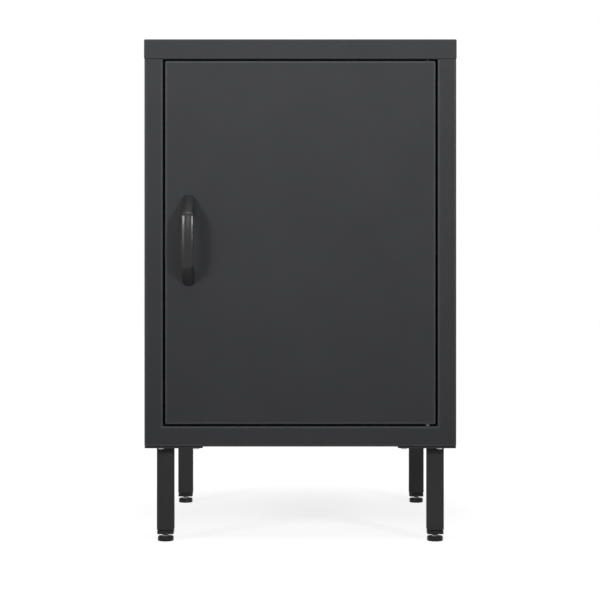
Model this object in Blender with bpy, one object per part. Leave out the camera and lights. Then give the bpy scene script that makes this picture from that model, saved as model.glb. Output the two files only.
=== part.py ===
"""A small steel storage locker on four legs, as an assembly of its real pieces.

Metres, +Z up, the door faces -Y. The origin lies on the floor under the middle of the
whole object, handle included. Folded sheets are drawn as their outer skin; a live Bevel
rolls each fold and a live Solidify gives the sheet its thickness.
"""

import math

import bmesh
import bpy
from mathutils import Matrix, Vector

# Driving dimensions of the whole locker
WIDTH = 0.350
DEPTH = 0.400
HEIGHT = 0.5642
UNDERSIDE = 0.1082
SEAT = 0.0003
OVERRUN = 0.002

# Folded sheet
SHEET = 0.0008
BEND = 0.0015
BEND_STEPS = 2
RELIEF_WIDTH = 0.002
RELIEF_DEPTH = 0.003

# Body shell and top
TOP_OVERHANG = 0.0004
TOP_FLANGE = 0.0223
TOP_RETURN = 0.014
TOP_FRONT_RETURN = 0.019
STOP_LIP = 0.012
STOP_LIP_END_GAP = 0.004
POST_FACE = 0.0207
RAIL_FACE = 0.0228
JAMB = 0.030
JAMB_RETURN = 0.012
REAR_FLANGE = 0.018
BACK_FLANGE = 0.010

# Door
DOOR_DEPTH = 0.015
DOOR_RETURN = 0.012
DOOR_GAP_SIDE = 0.0025
DOOR_GAP_TOP = 0.002
DOOR_GAP_BOTTOM = 0.0023
STIFFENER_WIDTH = 0.060
STIFFENER_DEPTH = 0.010
STIFFENER_BRIM = 0.014
STIFFENER_END_GAP = 0.020

# Pivots
PIVOT_FROM_EDGE = 0.0085
PIVOT_FROM_FRONT = 0.006
PIVOT_RADIUS = 0.00225
PIVOT_INSERTION = 0.010
PIVOT_HEAD_RADIUS = 0.0042
PIVOT_HEAD = 0.002
PIVOT_COLLAR_RADIUS = 0.0029
PIVOT_CLEARANCE = 0.00015
BUSH_NECK_RADIUS = 0.0036
BUSH_COLLAR_RADIUS = 0.0047
BUSH_COLLAR = 0.002

# Handle
HANDLE_FROM_EDGE = 0.0265
HANDLE_ABOVE_MIDDLE = 0.0026
HANDLE_LENGTH = 0.102
HANDLE_PROJECTION = 0.027
HANDLE_WIDTH = 0.0129
HANDLE_END_WIDTH = 0.0098
HANDLE_THICKNESS = 0.0062
HANDLE_FOOT = 0.013
HANDLE_CROWN = 0.016
HANDLE_EDGE_RADIUS = 0.001
HANDLE_BACK_RADIUS = 0.002
HANDLE_FOOT_RADIUS = 0.004
HANDLE_SHOULDER_RADIUS = 0.008
HANDLE_FACE_TILT = math.radians(9)
HANDLE_LEG_TILT = math.radians(48)
HANDLE_CROWN_POINTS = 5
HANDLE_FACE_STEPS = 4
HANDLE_SHOULDER_STEPS = 5
HANDLE_LEG_SHARES = (0.4, 0.75, 0.86, 0.95, 1.0)
HANDLE_TAPER_SHARE = 0.75
HANDLE_SCREW_FROM_END = 0.009
HANDLE_SCREW_RADIUS = 0.0018
HANDLE_SCREW_HEAD_RADIUS = 0.0038
HANDLE_SCREW_HEAD = 0.0024
HANDLE_SCREW_INSERTION = 0.0055

# Shelf, its uprights and clips
SHELF_THICKNESS = 0.020
SHELF_RETURN = 0.010
SHELF_SIDE_GAP = 0.001
SHELF_FRONT_GAP = 0.006
SHELF_BACK_GAP = 0.003
UPRIGHT_WIDTH = 0.024
UPRIGHT_DEPTH = 0.010
UPRIGHT_SHEET = 0.001
UPRIGHT_FRONT_GAP = 0.016
UPRIGHT_BACK_GAP = 0.016
UPRIGHT_END_GAP = 0.006
SLOT_WIDTH = 0.010
SLOT_HEIGHT = 0.006
SLOT_PITCH = 0.040
SLOT_COUNT = 9
SHELF_SLOT = 4
CLIP_THICKNESS = 0.0015
CLIP_DROP = 0.009
CLIP_REACH = 0.015
CLIP_HOOK = 0.005
CLIP_WIDTH = 0.008

# Magnetic catch and rubber buffers
CATCH_LENGTH = 0.038
CATCH_WIDTH = 0.0115
CATCH_DEPTH = 0.0125
CATCH_DOOR_GAP = 0.0004
MAGNET_LENGTH = 0.024
MAGNET_WIDTH = 0.006
MAGNET_DEPTH = 0.004
BUFFER_RADIUS = 0.004
BUFFER_FROM_EDGE = 0.0414

# Legs and levelling feet
PLATE_SIZE = 0.065
PLATE_THICKNESS = 0.0015
PLATE_CORNER = 0.003
LEG_SIZE = 0.019
LEG_WALL = 0.0012
LEG_CORNER = 0.002
LEG_INSET = 0.0129
END_CAP_COLLAR = 0.0048
END_CAP_COLLAR_STEP = 0.0003
END_CAP_INSERT = 0.014
NECK = 0.0026
STEM_RADIUS = 0.0034
STEM_LENGTH = 0.045
PAD_RADIUS = 0.009
PAD_HEIGHT = 0.0058
PAD_EDGE = 0.001
PAD_SOCKET_DEPTH = 0.003
PLATE_SCREW_RADIUS = 0.002
PLATE_SCREW_HEAD_RADIUS = 0.0034
PLATE_SCREW_HEAD = 0.0018
PLATE_SCREW_LENGTH = 0.0028
PLATE_SCREW_NEAR = 0.0185
PLATE_SCREW_FAR = 0.058
PLATE_SCREW_EDGE = 0.0062

# Facets of round pieces, and how near two corners must be to count as one
ROUND_SIDES = 16
PAD_SIDES = 32
HOLE_SIDES = 12
CORNER_POINTS = 3
MERGE = 0.00001
SMOOTH_ANGLE = math.radians(35)

# Planes that several pieces share
FRONT = -(DEPTH + TOP_OVERHANG - HANDLE_PROJECTION) / 2
BACK = FRONT + DEPTH
SHELL_HALF = WIDTH / 2 - TOP_OVERHANG
TOP_SEAM = HEIGHT - TOP_FLANGE
SHELL_TOP = TOP_SEAM - SEAT
RAIL_TOP = UNDERSIDE + RAIL_FACE
JAMB_X = SHELL_HALF - POST_FACE
JAMB_REAR = FRONT + JAMB
WALL_X = SHELL_HALF - SHEET - SEAT
BACK_SKIN = BACK - SHEET - SEAT
DOOR_HALF = JAMB_X - DOOR_GAP_SIDE
DOOR_LOW = RAIL_TOP + DOOR_GAP_BOTTOM
DOOR_HIGH = TOP_SEAM - DOOR_GAP_TOP
DOOR_REAR = FRONT + DOOR_DEPTH
HANDLE_X = HANDLE_FROM_EDGE - DOOR_HALF
HANDLE_Z = (DOOR_LOW + DOOR_HIGH) / 2 + HANDLE_ABOVE_MIDDLE
PIVOT_X = DOOR_HALF - PIVOT_FROM_EDGE
PIVOT_Y = FRONT + PIVOT_FROM_FRONT
STOP_FACE = FRONT - TOP_OVERHANG + TOP_FRONT_RETURN

# Colour, roughness and metallic value of each finish
POWDER_COAT = ((0.049, 0.050, 0.053), 0.55, 0.0)
POWDER_COAT_LEG = ((0.045, 0.045, 0.046), 0.55, 0.0)
HANDLE_PAINT = ((0.028, 0.029, 0.030), 0.25, 0.0)
BLACK_PLASTIC = ((0.012, 0.012, 0.012), 0.5, 0.0)
PALE_PLASTIC = ((0.55, 0.54, 0.50), 0.45, 0.0)
RUBBER = ((0.02, 0.02, 0.02), 0.85, 0.0)
ZINC = ((0.55, 0.56, 0.57), 0.35, 1.0)
FERRITE = ((0.08, 0.08, 0.085), 0.6, 0.4)


def material(name, finish):
    colour, roughness, metallic = finish
    mat = bpy.data.materials.new(name)
    mat.use_nodes = True
    shader = mat.node_tree.nodes["Principled BSDF"]
    shader.inputs["Base Color"].default_value = (*colour, 1.0)
    shader.inputs["Roughness"].default_value = roughness
    shader.inputs["Metallic"].default_value = metallic
    return mat


def place(name, mesh, finish, parent=None, location=(0, 0, 0)):
    """A named object for one piece, with a material of its own."""
    mesh.materials.append(material(name, finish))
    obj = bpy.data.objects.new(name, mesh)
    bpy.context.scene.collection.objects.link(obj)
    obj.location = location
    obj.parent = parent
    return obj


def axis_empty(name, location, turn=0.0):
    empty = bpy.data.objects.new(name, None)
    bpy.context.scene.collection.objects.link(empty)
    empty.location = location
    empty.rotation_euler = (0, 0, turn)
    empty.empty_display_size = PLATE_SIZE
    return empty


def shade_round(mesh):
    mesh.shade_smooth()
    mesh.set_sharp_from_angle(angle=SMOOTH_ANGLE)


def skin_mesh(name, faces, outward):
    """Joins polygons along their shared edges; the first one faces the way outward points."""
    bm = bmesh.new()
    for face in faces:
        bm.faces.new([bm.verts.new(point) for point in face])
    bmesh.ops.remove_doubles(bm, verts=bm.verts, dist=MERGE)
    bmesh.ops.recalc_face_normals(bm, faces=bm.faces)
    bm.faces.ensure_lookup_table()
    if bm.faces[0].normal.dot(Vector(outward)) < 0:
        bmesh.ops.reverse_faces(bm, faces=bm.faces)
    mesh = bpy.data.meshes.new(name)
    bm.to_mesh(mesh)
    bm.free()
    return mesh


def folded_sheet(name, faces, outward, finish, thickness=SHEET, bend=BEND, parent=None):
    """A sheet folded along its polygons' shared edges, with rolled folds."""
    obj = place(name, skin_mesh(name, faces, outward), finish, parent)
    if bend:
        roll = obj.modifiers.new("rolled folds", "BEVEL")
        roll.width = bend
        roll.segments = BEND_STEPS
        roll.limit_method = "ANGLE"
        roll.angle_limit = SMOOTH_ANGLE
        roll.use_clamp_overlap = False
    wall = obj.modifiers.new("sheet", "SOLIDIFY")
    wall.thickness = thickness
    wall.offset = -1
    wall.use_even_offset = True
    return obj


def rectangle(x0, x1, y0, y1, z):
    """A level rectangle as four points, counted round from its lowest X and Y corner."""
    return [(x0, y0, z), (x1, y0, z), (x1, y1, z), (x0, y1, z)]


def upright_rectangle(x0, x1, z0, z1, y):
    return [(x0, y, z0), (x1, y, z0), (x1, y, z1), (x0, y, z1)]


def walls_between(rings):
    """Quads from each ring of points to the next."""
    faces = []
    for near, far in zip(rings, rings[1:]):
        count = len(near)
        for i in range(count):
            j = (i + 1) % count
            faces.append([near[i], near[j], far[j], far[i]])
    return faces


def tray(rings):
    """The first ring is the tray's skin; the others are its folds."""
    return [rings[0]] + walls_between(rings)


def solid_of_rings(name, rings, through=False):
    """A closed solid through rings of equal count; through joins the last ring to the first."""
    bm = bmesh.new()
    loops = [[bm.verts.new(point) for point in ring] for ring in rings]
    pairs = list(zip(loops, loops[1:]))
    if through:
        pairs.append((loops[-1], loops[0]))
    else:
        bm.faces.new(loops[0])
        bm.faces.new(loops[-1])
    for near, far in pairs:
        count = len(near)
        for i in range(count):
            j = (i + 1) % count
            bm.faces.new((near[i], near[j], far[j], far[i]))
    bmesh.ops.recalc_face_normals(bm, faces=bm.faces)
    mesh = bpy.data.meshes.new(name)
    bm.to_mesh(mesh)
    bm.free()
    return mesh


def circle(radius, z, sides=ROUND_SIDES):
    step = 2 * math.pi / sides
    return [(radius * math.cos(i * step), radius * math.sin(i * step), z) for i in range(sides)]


def turned(name, profile, through=False, sides=ROUND_SIDES):
    """A turned solid from its profile of radius and height pairs."""
    mesh = solid_of_rings(name, [circle(radius, z, sides) for radius, z in profile], through)
    shade_round(mesh)
    return mesh


def rounded_outline(width, height, radius, points=CORNER_POINTS):
    """A rectangle with rounded corners, as points round its middle, starting at its right."""
    outline = []
    for turn, sx, sy in ((0, 1, 1), (1, -1, 1), (2, -1, -1), (3, 1, -1)):
        cx = sx * (width / 2 - radius)
        cy = sy * (height / 2 - radius)
        for i in range(points):
            angle = (turn + i / (points - 1)) * math.pi / 2
            outline.append((cx + radius * math.cos(angle), cy + radius * math.sin(angle)))
    return outline


def level_ring(outline, z, centre=(0, 0)):
    return [(centre[0] + u, centre[1] + v, z) for u, v in outline]


def cutter(name, mesh, parent=None, location=(0, 0, 0)):
    """A hidden shape that Boolean modifiers cut away."""
    obj = bpy.data.objects.new(name, mesh)
    bpy.context.scene.collection.objects.link(obj)
    obj.location = location
    obj.parent = parent
    obj.hide_render = True
    obj.display_type = "WIRE"
    return obj


def cut(obj, tool):
    hole = obj.modifiers.new(tool.name, "BOOLEAN")
    hole.operation = "DIFFERENCE"
    hole.object = tool


def drill(name, radius, low, high):
    return turned(name, [(radius, low), (radius, high)], sides=HOLE_SIDES)


def top_panel():
    """Folded lid: skin, flanges, a return all round and a stop lip behind the door."""
    half = WIDTH / 2
    front = FRONT - TOP_OVERHANG
    back = BACK + TOP_OVERHANG
    skin = rectangle(-half, half, front, back, HEIGHT)
    flange = rectangle(-half, half, front, back, TOP_SEAM)
    inner = rectangle(-half + TOP_RETURN, half - TOP_RETURN, STOP_FACE, back - TOP_RETURN, TOP_SEAM)
    faces = [skin] + walls_between([skin, flange])
    for i in (1, 2, 3):
        j = (i + 1) % len(inner)
        faces.append([flange[i], flange[j], inner[j], inner[i]])
    lip_end = JAMB_X - STOP_LIP_END_GAP
    relief_end = lip_end + RELIEF_WIDTH
    relief_y = STOP_FACE - RELIEF_DEPTH
    edge = [(relief_end, STOP_FACE), (relief_end, relief_y), (lip_end, relief_y), (lip_end, STOP_FACE)]
    edge += [(-x, y) for x, y in reversed(edge)]
    faces.append([flange[0], flange[1], inner[1]] + [(x, y, TOP_SEAM) for x, y in edge] + [inner[0]])
    lip_low = TOP_SEAM - STOP_LIP
    faces.append([
        (lip_end, STOP_FACE, TOP_SEAM),
        (-lip_end, STOP_FACE, TOP_SEAM),
        (-lip_end, STOP_FACE, lip_low),
        (lip_end, STOP_FACE, lip_low),
    ])
    return folded_sheet("top_panel", faces, (0, 0, 1), POWDER_COAT)


def body_shell():
    """One sheet wrapped round left wall, bottom and right wall, with mitred front and rear folds."""
    fold = [
        (REAR_FLANGE, REAR_FLANGE, BACK),
        (0, 0, BACK),
        (0, 0, FRONT),
        (POST_FACE, RAIL_FACE, FRONT),
        (POST_FACE, RAIL_FACE, JAMB_REAR),
        (POST_FACE - JAMB_RETURN, RAIL_FACE - JAMB_RETURN, JAMB_REAR),
    ]
    stations = ((-1, False), (-1, True), (1, True), (1, False))
    sections = []
    for side, at_bottom in stations:
        section = []
        for from_wall, from_bottom, y in fold:
            z = UNDERSIDE + from_bottom if at_bottom else SHELL_TOP
            section.append((side * (SHELL_HALF - from_wall), y, z))
        sections.append(section)
    faces = []
    for near, far in zip(sections, sections[1:]):
        for i in range(len(fold) - 1):
            faces.append([near[i], near[i + 1], far[i + 1], far[i]])
    first = faces.pop(1)
    return folded_sheet("body_shell", [first] + faces, (-1, 0, 0), POWDER_COAT)


def back_panel():
    """Pan closing the back, in front of the shell's rear flanges."""
    half = WALL_X
    low = UNDERSIDE + SHEET + SEAT
    skin = upright_rectangle(-half, half, low, SHELL_TOP, BACK_SKIN)
    flange = upright_rectangle(-half, half, low, SHELL_TOP, BACK_SKIN - BACK_FLANGE)
    return folded_sheet("back_panel", tray([skin, flange]), (0, 1, 0), POWDER_COAT)


def floor_panel():
    """Inverted tray: the compartment's floor, level with the bottom rail's ledge."""
    front = JAMB_REAR + SEAT
    back = BACK_SKIN - BACK_FLANGE - SEAT
    skin = rectangle(-WALL_X, WALL_X, front, back, RAIL_TOP)
    flange = rectangle(-WALL_X, WALL_X, front, back, UNDERSIDE + SHEET + SEAT)
    return folded_sheet("floor_panel", tray([skin, flange]), (0, 0, 1), POWDER_COAT)


UPRIGHT_LOW = RAIL_TOP + UPRIGHT_END_GAP
UPRIGHT_HIGH = SHELL_TOP - UPRIGHT_END_GAP
UPRIGHT_FACE_X = WALL_X - UPRIGHT_DEPTH
UPRIGHT_YS = {
    "front": JAMB_REAR + UPRIGHT_FRONT_GAP + UPRIGHT_WIDTH / 2,
    "rear": BACK_SKIN - BACK_FLANGE - UPRIGHT_BACK_GAP - UPRIGHT_WIDTH / 2,
}
SLOT_START = (UPRIGHT_LOW + UPRIGHT_HIGH - (SLOT_COUNT - 1) * SLOT_PITCH - SLOT_HEIGHT) / 2
SLOT_LOWS = [SLOT_START + i * SLOT_PITCH for i in range(SLOT_COUNT)]
CLIP_LEDGE = SLOT_LOWS[SHELF_SLOT] + SEAT + CLIP_THICKNESS - CLIP_DROP


def shelf_upright(name, side, y):
    """Channel strip with a ladder of slots, welded to the side wall."""
    half = UPRIGHT_WIDTH / 2
    slot = SLOT_WIDTH / 2
    levels = [UPRIGHT_LOW]
    for low in SLOT_LOWS:
        levels += [low, low + SLOT_HEIGHT]
    levels.append(UPRIGHT_HIGH)
    wall = side * WALL_X
    face = side * UPRIGHT_FACE_X
    faces = []
    for edge in (-1, 1):
        outer = y + edge * half
        inner = y + edge * slot
        web = [(face, outer, z) for z in levels]
        faces.append(web + [(wall, outer, UPRIGHT_HIGH), (wall, outer, UPRIGHT_LOW)])
        for low, high in zip(levels, levels[1:]):
            faces.append([(face, inner, low), (face, outer, low), (face, outer, high), (face, inner, high)])
    for low, high in zip(levels[0::2], levels[1::2]):
        faces.append([(face, y - slot, low), (face, y + slot, low), (face, y + slot, high), (face, y - slot, high)])
    return folded_sheet(name, faces, (0, -1, 0), POWDER_COAT, thickness=UPRIGHT_SHEET, bend=0)


def shelf_clip(name, side, y):
    """Bent clip: its hook drops behind a slot's lower edge and its foot carries the shelf."""
    slot_low = SLOT_LOWS[SHELF_SLOT]
    behind = -UPRIGHT_SHEET - SEAT - CLIP_THICKNESS
    top = slot_low + SEAT + CLIP_THICKNESS
    under = slot_low + SEAT
    outline = [
        (behind, top),
        (behind, top - CLIP_HOOK),
        (behind + CLIP_THICKNESS, top - CLIP_HOOK),
        (behind + CLIP_THICKNESS, under),
        (SEAT, under),
        (SEAT, CLIP_LEDGE - CLIP_THICKNESS),
        (CLIP_REACH, CLIP_LEDGE - CLIP_THICKNESS),
        (CLIP_REACH, CLIP_LEDGE),
        (SEAT + CLIP_THICKNESS, CLIP_LEDGE),
        (SEAT + CLIP_THICKNESS, top),
    ]
    rings = []
    for edge in (-1, 1):
        ring_y = y + edge * CLIP_WIDTH / 2
        rings.append([(side * (UPRIGHT_FACE_X - u), ring_y, v) for u, v in outline])
    return place(name, solid_of_rings(name, rings), ZINC)


def shelf():
    """Tray shelf, folded down all round with a return under its edge, lying on the clips."""
    half = UPRIGHT_FACE_X - SHELF_SIDE_GAP - SEAT - CLIP_THICKNESS
    front = JAMB_REAR + SHELF_FRONT_GAP
    back = BACK_SKIN - BACK_FLANGE - SHELF_BACK_GAP
    low = CLIP_LEDGE + SEAT
    high = low + SHELF_THICKNESS
    skin = rectangle(-half, half, front, back, high)
    flange = rectangle(-half, half, front, back, low)
    inner = rectangle(-half + SHELF_RETURN, half - SHELF_RETURN, front + SHELF_RETURN, back - SHELF_RETURN, low)
    return folded_sheet("shelf", tray([skin, flange, inner]), (0, 0, 1), POWDER_COAT)


def shelving():
    for side_name, side in (("left", -1), ("right", 1)):
        for place_name, y in UPRIGHT_YS.items():
            shelf_upright(f"shelf_upright_{place_name}_{side_name}", side, y)
            shelf_clip(f"shelf_clip_{place_name}_{side_name}", side, y)
    shelf()


def door_panel(axis):
    """Door pan: front skin, edges folded back and a return round its inner side."""
    half = DOOR_HALF
    inner = half - DOOR_RETURN
    skin = upright_rectangle(-half, half, DOOR_LOW, DOOR_HIGH, FRONT)
    edge = upright_rectangle(-half, half, DOOR_LOW, DOOR_HIGH, DOOR_REAR)
    lip = upright_rectangle(-inner, inner, DOOR_LOW + DOOR_RETURN, DOOR_HIGH - DOOR_RETURN, DOOR_REAR)
    door = folded_sheet("door_panel", tray([skin, edge, lip]), (0, -1, 0), POWDER_COAT)
    move_to_axis(door, axis)
    hole = BUSH_NECK_RADIUS + SEAT
    for name, z in (("upper", DOOR_HIGH), ("lower", DOOR_LOW)):
        bore = drill(f"{name}_bush_hole", hole, z - OVERRUN, z + OVERRUN)
        cut(door, cutter(f"{name}_bush_hole", bore, location=(PIVOT_X, PIVOT_Y, 0)))
    for name, z in handle_screw_places():
        rings = along_y(HANDLE_SCREW_RADIUS + SEAT, (-OVERRUN, OVERRUN), HOLE_SIDES)
        bore = solid_of_rings(f"{name}_handle_hole", rings)
        cut(door, cutter(f"{name}_handle_hole", bore, location=(HANDLE_X, FRONT, z)))
    return door


def move_to_axis(obj, axis):
    """Gives a piece the joint's axis as its origin and parent, with its shape where it was."""
    here = axis.location.copy()
    for vertex in obj.data.vertices:
        vertex.co -= here
    obj.parent = axis


def door_stiffener(axis):
    """Hat channel spot-welded behind the door's skin."""
    x = STIFFENER_WIDTH / 2
    skin = FRONT + SHEET + SEAT + SHEET
    crown = FRONT + SHEET + SEAT + STIFFENER_DEPTH
    low = DOOR_LOW + STIFFENER_END_GAP
    high = DOOR_HIGH - STIFFENER_END_GAP
    section = [(-x - STIFFENER_BRIM, skin), (-x, skin), (-x, crown), (x, crown), (x, skin), (x + STIFFENER_BRIM, skin)]
    faces = []
    for (x0, y0), (x1, y1) in zip(section, section[1:]):
        faces.append([(x0, y0, low), (x1, y1, low), (x1, y1, high), (x0, y0, high)])
    obj = folded_sheet("door_stiffener", faces, (0, 1, 0), POWDER_COAT)
    move_to_axis(obj, axis)
    return obj


def handle_screw_places():
    reach = HANDLE_LENGTH / 2 - HANDLE_SCREW_FROM_END
    return (("upper", HANDLE_Z + reach), ("lower", HANDLE_Z - reach))


def handle_stations():
    """Half the pull's side view, from the middle of its face to its foot.

    Each station has an outer and an inner point, as distances along the door and out from
    it, and a share of the way from full section (0) to the foot's own (1).
    """
    tilt, lean, shoulder = HANDLE_FACE_TILT, HANDLE_LEG_TILT, HANDLE_SHOULDER_RADIUS
    rise = HANDLE_PROJECTION - SEAT
    shoulder_along = shoulder * (math.sin(lean) - math.sin(tilt))
    shoulder_drop = shoulder * (math.cos(tilt) - math.cos(lean))
    leg_along = (rise - shoulder_drop) / math.tan(lean)
    half_face = (HANDLE_LENGTH / 2 - shoulder_along - leg_along) / (1 - math.tan(tilt / 2) / math.tan(lean))
    face = half_face / math.sin(tilt)
    bends = [(face, Vector((0, rise - face)), tilt * i / HANDLE_FACE_STEPS) for i in range(HANDLE_FACE_STEPS)]
    centre = Vector((0, rise - face)) + (face - shoulder) * Vector((math.sin(tilt), math.cos(tilt)))
    for i in range(HANDLE_SHOULDER_STEPS + 1):
        bends.append((shoulder, centre, tilt + (lean - tilt) * i / HANDLE_SHOULDER_STEPS))
    stations = []
    for radius, middle, angle in bends:
        out = Vector((math.sin(angle), math.cos(angle)))
        outer = middle + radius * out
        stations.append((outer, outer - HANDLE_THICKNESS * out, 0.0))
    outer, inner, _ = stations[-1]
    toe = Vector((HANDLE_LENGTH / 2, 0))
    heel = Vector((HANDLE_LENGTH / 2 - HANDLE_FOOT, 0))
    for share in HANDLE_LEG_SHARES:
        near_foot = max(share - HANDLE_TAPER_SHARE, 0) / (1 - HANDLE_TAPER_SHARE)
        stations.append((outer.lerp(toe, share), inner.lerp(heel, share), 1 - math.sqrt(1 - near_foot ** 2)))
    return stations


def arc(u, v, radius, start, end, points=CORNER_POINTS):
    """Points round an arc, both ends included."""
    angles = [start + (end - start) * i / (points - 1) for i in range(points)]
    return [(u + radius * math.cos(angle), v + radius * math.sin(angle)) for angle in angles]


def crowned_outline(width, height, edge, back):
    """A flat bar's section with a crowned face towards +v, and rounded edges."""
    half = width / 2
    base = height / 2 - HANDLE_CROWN
    edge_u = half - edge
    edge_v = base + math.sqrt((HANDLE_CROWN - edge) ** 2 - edge_u ** 2)
    lean = math.asin(edge_u / (HANDLE_CROWN - edge))
    quarter = math.pi / 2
    outline = arc(edge_u, edge_v, edge, 0, quarter - lean)
    outline += arc(0, base, HANDLE_CROWN, quarter - lean, quarter + lean, HANDLE_CROWN_POINTS)[1:-1]
    outline += arc(-edge_u, edge_v, edge, quarter + lean, 2 * quarter)
    outline += arc(back - half, back - height / 2, back, 2 * quarter, 3 * quarter)
    outline += arc(half - back, back - height / 2, back, 3 * quarter, 4 * quarter)
    return outline


def handle(axis):
    """Bow pull: a crowned flat bar with a gently bowed face, round shoulders and slanted legs."""
    half = handle_stations()
    rings = []
    for way, stations in ((1, reversed(half)), (-1, half[1:])):
        for outer, inner, foot in stations:
            thick = (outer - inner).length
            along, out = (outer + inner) / 2
            along_way, out_way = (outer - inner) / thick
            width = HANDLE_WIDTH + (HANDLE_END_WIDTH - HANDLE_WIDTH) * foot
            edge = HANDLE_EDGE_RADIUS + (HANDLE_FOOT_RADIUS - HANDLE_EDGE_RADIUS) * foot
            back = HANDLE_BACK_RADIUS + (HANDLE_FOOT_RADIUS - HANDLE_BACK_RADIUS) * foot
            ring = []
            for u, v in crowned_outline(width, thick, edge, back):
                y = FRONT - SEAT - out - v * out_way
                ring.append((HANDLE_X + u, y, HANDLE_Z + way * (along + v * along_way)))
            rings.append(ring)
    mesh = solid_of_rings("handle", rings)
    shade_round(mesh)
    obj = place("handle", mesh, HANDLE_PAINT)
    move_to_axis(obj, axis)
    depth = HANDLE_SCREW_INSERTION + SEAT
    for name, z in handle_screw_places():
        bore = solid_of_rings(f"{name}_handle_bore", along_y(HANDLE_SCREW_RADIUS + SEAT, (OVERRUN, -depth), HOLE_SIDES))
        cut(obj, cutter(f"{name}_handle_bore", bore, location=(HANDLE_X, FRONT - SEAT, z)))
        handle_screw(f"handle_screw_{name}", axis, z)
    return obj


def along_y(radius, places, sides=ROUND_SIDES):
    """Rings round the Y axis, one for each place."""
    return [[(x, y, z) for x, z, _ in circle(radius, 0, sides)] for y in places]


def handle_screw(name, axis, z):
    """Pan-head screw from inside the door into the handle's foot."""
    seat = FRONT + SHEET + SEAT
    tip = FRONT - SEAT - HANDLE_SCREW_INSERTION + SEAT
    rings = along_y(HANDLE_SCREW_HEAD_RADIUS, (seat + HANDLE_SCREW_HEAD, seat))
    rings += along_y(HANDLE_SCREW_RADIUS, (seat, tip))
    mesh = solid_of_rings(name, rings)
    mesh.transform(Matrix.Translation((HANDLE_X, 0, z)))
    shade_round(mesh)
    obj = place(name, mesh, ZINC)
    move_to_axis(obj, axis)
    return obj


def pivots(axis):
    """Fixed pins through the top's return and the rail's ledge, and the door's two bushes."""
    head_low = TOP_SEAM + SHEET + SEAT
    top = turned("top_pivot_pin", [
        (PIVOT_RADIUS, DOOR_HIGH - PIVOT_INSERTION),
        (PIVOT_RADIUS, head_low),
        (PIVOT_HEAD_RADIUS, head_low),
        (PIVOT_HEAD_RADIUS, head_low + PIVOT_HEAD),
    ])
    place("top_pivot_pin", top, ZINC, location=(PIVOT_X, PIVOT_Y, 0))
    ledge_under = RAIL_TOP - SHEET - SEAT
    collar_low = RAIL_TOP + SEAT
    bottom = turned("bottom_pivot_pin", [
        (PIVOT_HEAD_RADIUS, ledge_under - PIVOT_HEAD),
        (PIVOT_HEAD_RADIUS, ledge_under),
        (PIVOT_RADIUS, ledge_under),
        (PIVOT_RADIUS, collar_low),
        (PIVOT_COLLAR_RADIUS, collar_low),
        (PIVOT_COLLAR_RADIUS, DOOR_LOW - SEAT),
        (PIVOT_RADIUS, DOOR_LOW - SEAT),
        (PIVOT_RADIUS, DOOR_LOW + PIVOT_INSERTION),
    ])
    place("bottom_pivot_pin", bottom, ZINC, location=(PIVOT_X, PIVOT_Y, 0))
    for name, edge, way in (("door_bush_top", DOOR_HIGH, -1), ("door_bush_bottom", DOOR_LOW, 1)):
        collar = edge + way * (SHEET + SEAT)
        bore = PIVOT_RADIUS + PIVOT_CLEARANCE
        bush = turned(name, [
            (bore, edge),
            (BUSH_NECK_RADIUS, edge),
            (BUSH_NECK_RADIUS, collar),
            (BUSH_COLLAR_RADIUS, collar),
            (BUSH_COLLAR_RADIUS, collar + way * BUSH_COLLAR),
            (BUSH_NECK_RADIUS, collar + way * BUSH_COLLAR),
            (BUSH_NECK_RADIUS, edge + way * (PIVOT_INSERTION + SEAT)),
            (bore, edge + way * (PIVOT_INSERTION + SEAT)),
        ], through=True)
        bush.transform(Matrix.Translation((PIVOT_X, PIVOT_Y, 0)))
        move_to_axis(place(name, bush, PALE_PLASTIC), axis)


def pivot_holes(top, shell):
    hole = PIVOT_RADIUS + SEAT
    for obj, name, z in ((top, "top_pin_hole", TOP_SEAM), (shell, "ledge_pin_hole", RAIL_TOP)):
        bore = drill(name, hole, z - OVERRUN, z + OVERRUN)
        cut(obj, cutter(name, bore, location=(PIVOT_X, PIVOT_Y, 0)))


def magnet_catch():
    """Plastic housing on the left jamb with a magnet in its pocket, facing the door's return."""
    x = -JAMB_X + SEAT + CATCH_WIDTH / 2
    face = DOOR_REAR + CATCH_DOOR_GAP
    outline = rounded_outline(CATCH_WIDTH, CATCH_LENGTH, PAD_EDGE)
    pocket = rounded_outline(MAGNET_WIDTH + 2 * SEAT, MAGNET_LENGTH + 2 * SEAT, PAD_EDGE / 2)
    magnet = rounded_outline(MAGNET_WIDTH, MAGNET_LENGTH, PAD_EDGE / 2)

    def ring(shape, y):
        return [(x + u, y, HANDLE_Z + v) for u, v in shape]

    housing = [
        ring(outline, face + CATCH_DEPTH),
        ring(outline, face),
        ring(pocket, face),
        ring(pocket, face + MAGNET_DEPTH + SEAT),
    ]
    place("magnet_catch", solid_of_rings("magnet_catch", housing), BLACK_PLASTIC)
    block = [ring(magnet, face + MAGNET_DEPTH), ring(magnet, face)]
    place("catch_magnet", solid_of_rings("catch_magnet", block), FERRITE)


def door_buffers():
    """Rubber stops on the lip behind the door's top edge."""
    thickness = STOP_FACE - DOOR_REAR - 2 * SEAT
    z = TOP_SEAM - BEND - BUFFER_RADIUS - SHEET
    for name, side in (("door_buffer_left", -1), ("door_buffer_right", 1)):
        rings = along_y(BUFFER_RADIUS, (STOP_FACE - SEAT, STOP_FACE - SEAT - thickness / 2))
        rings += along_y(BUFFER_RADIUS - PAD_EDGE, (STOP_FACE - SEAT - thickness,))
        mesh = solid_of_rings(name, rings)
        shade_round(mesh)
        place(name, mesh, RUBBER, location=(side * (DOOR_HALF - BUFFER_FROM_EDGE), 0, z))


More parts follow.
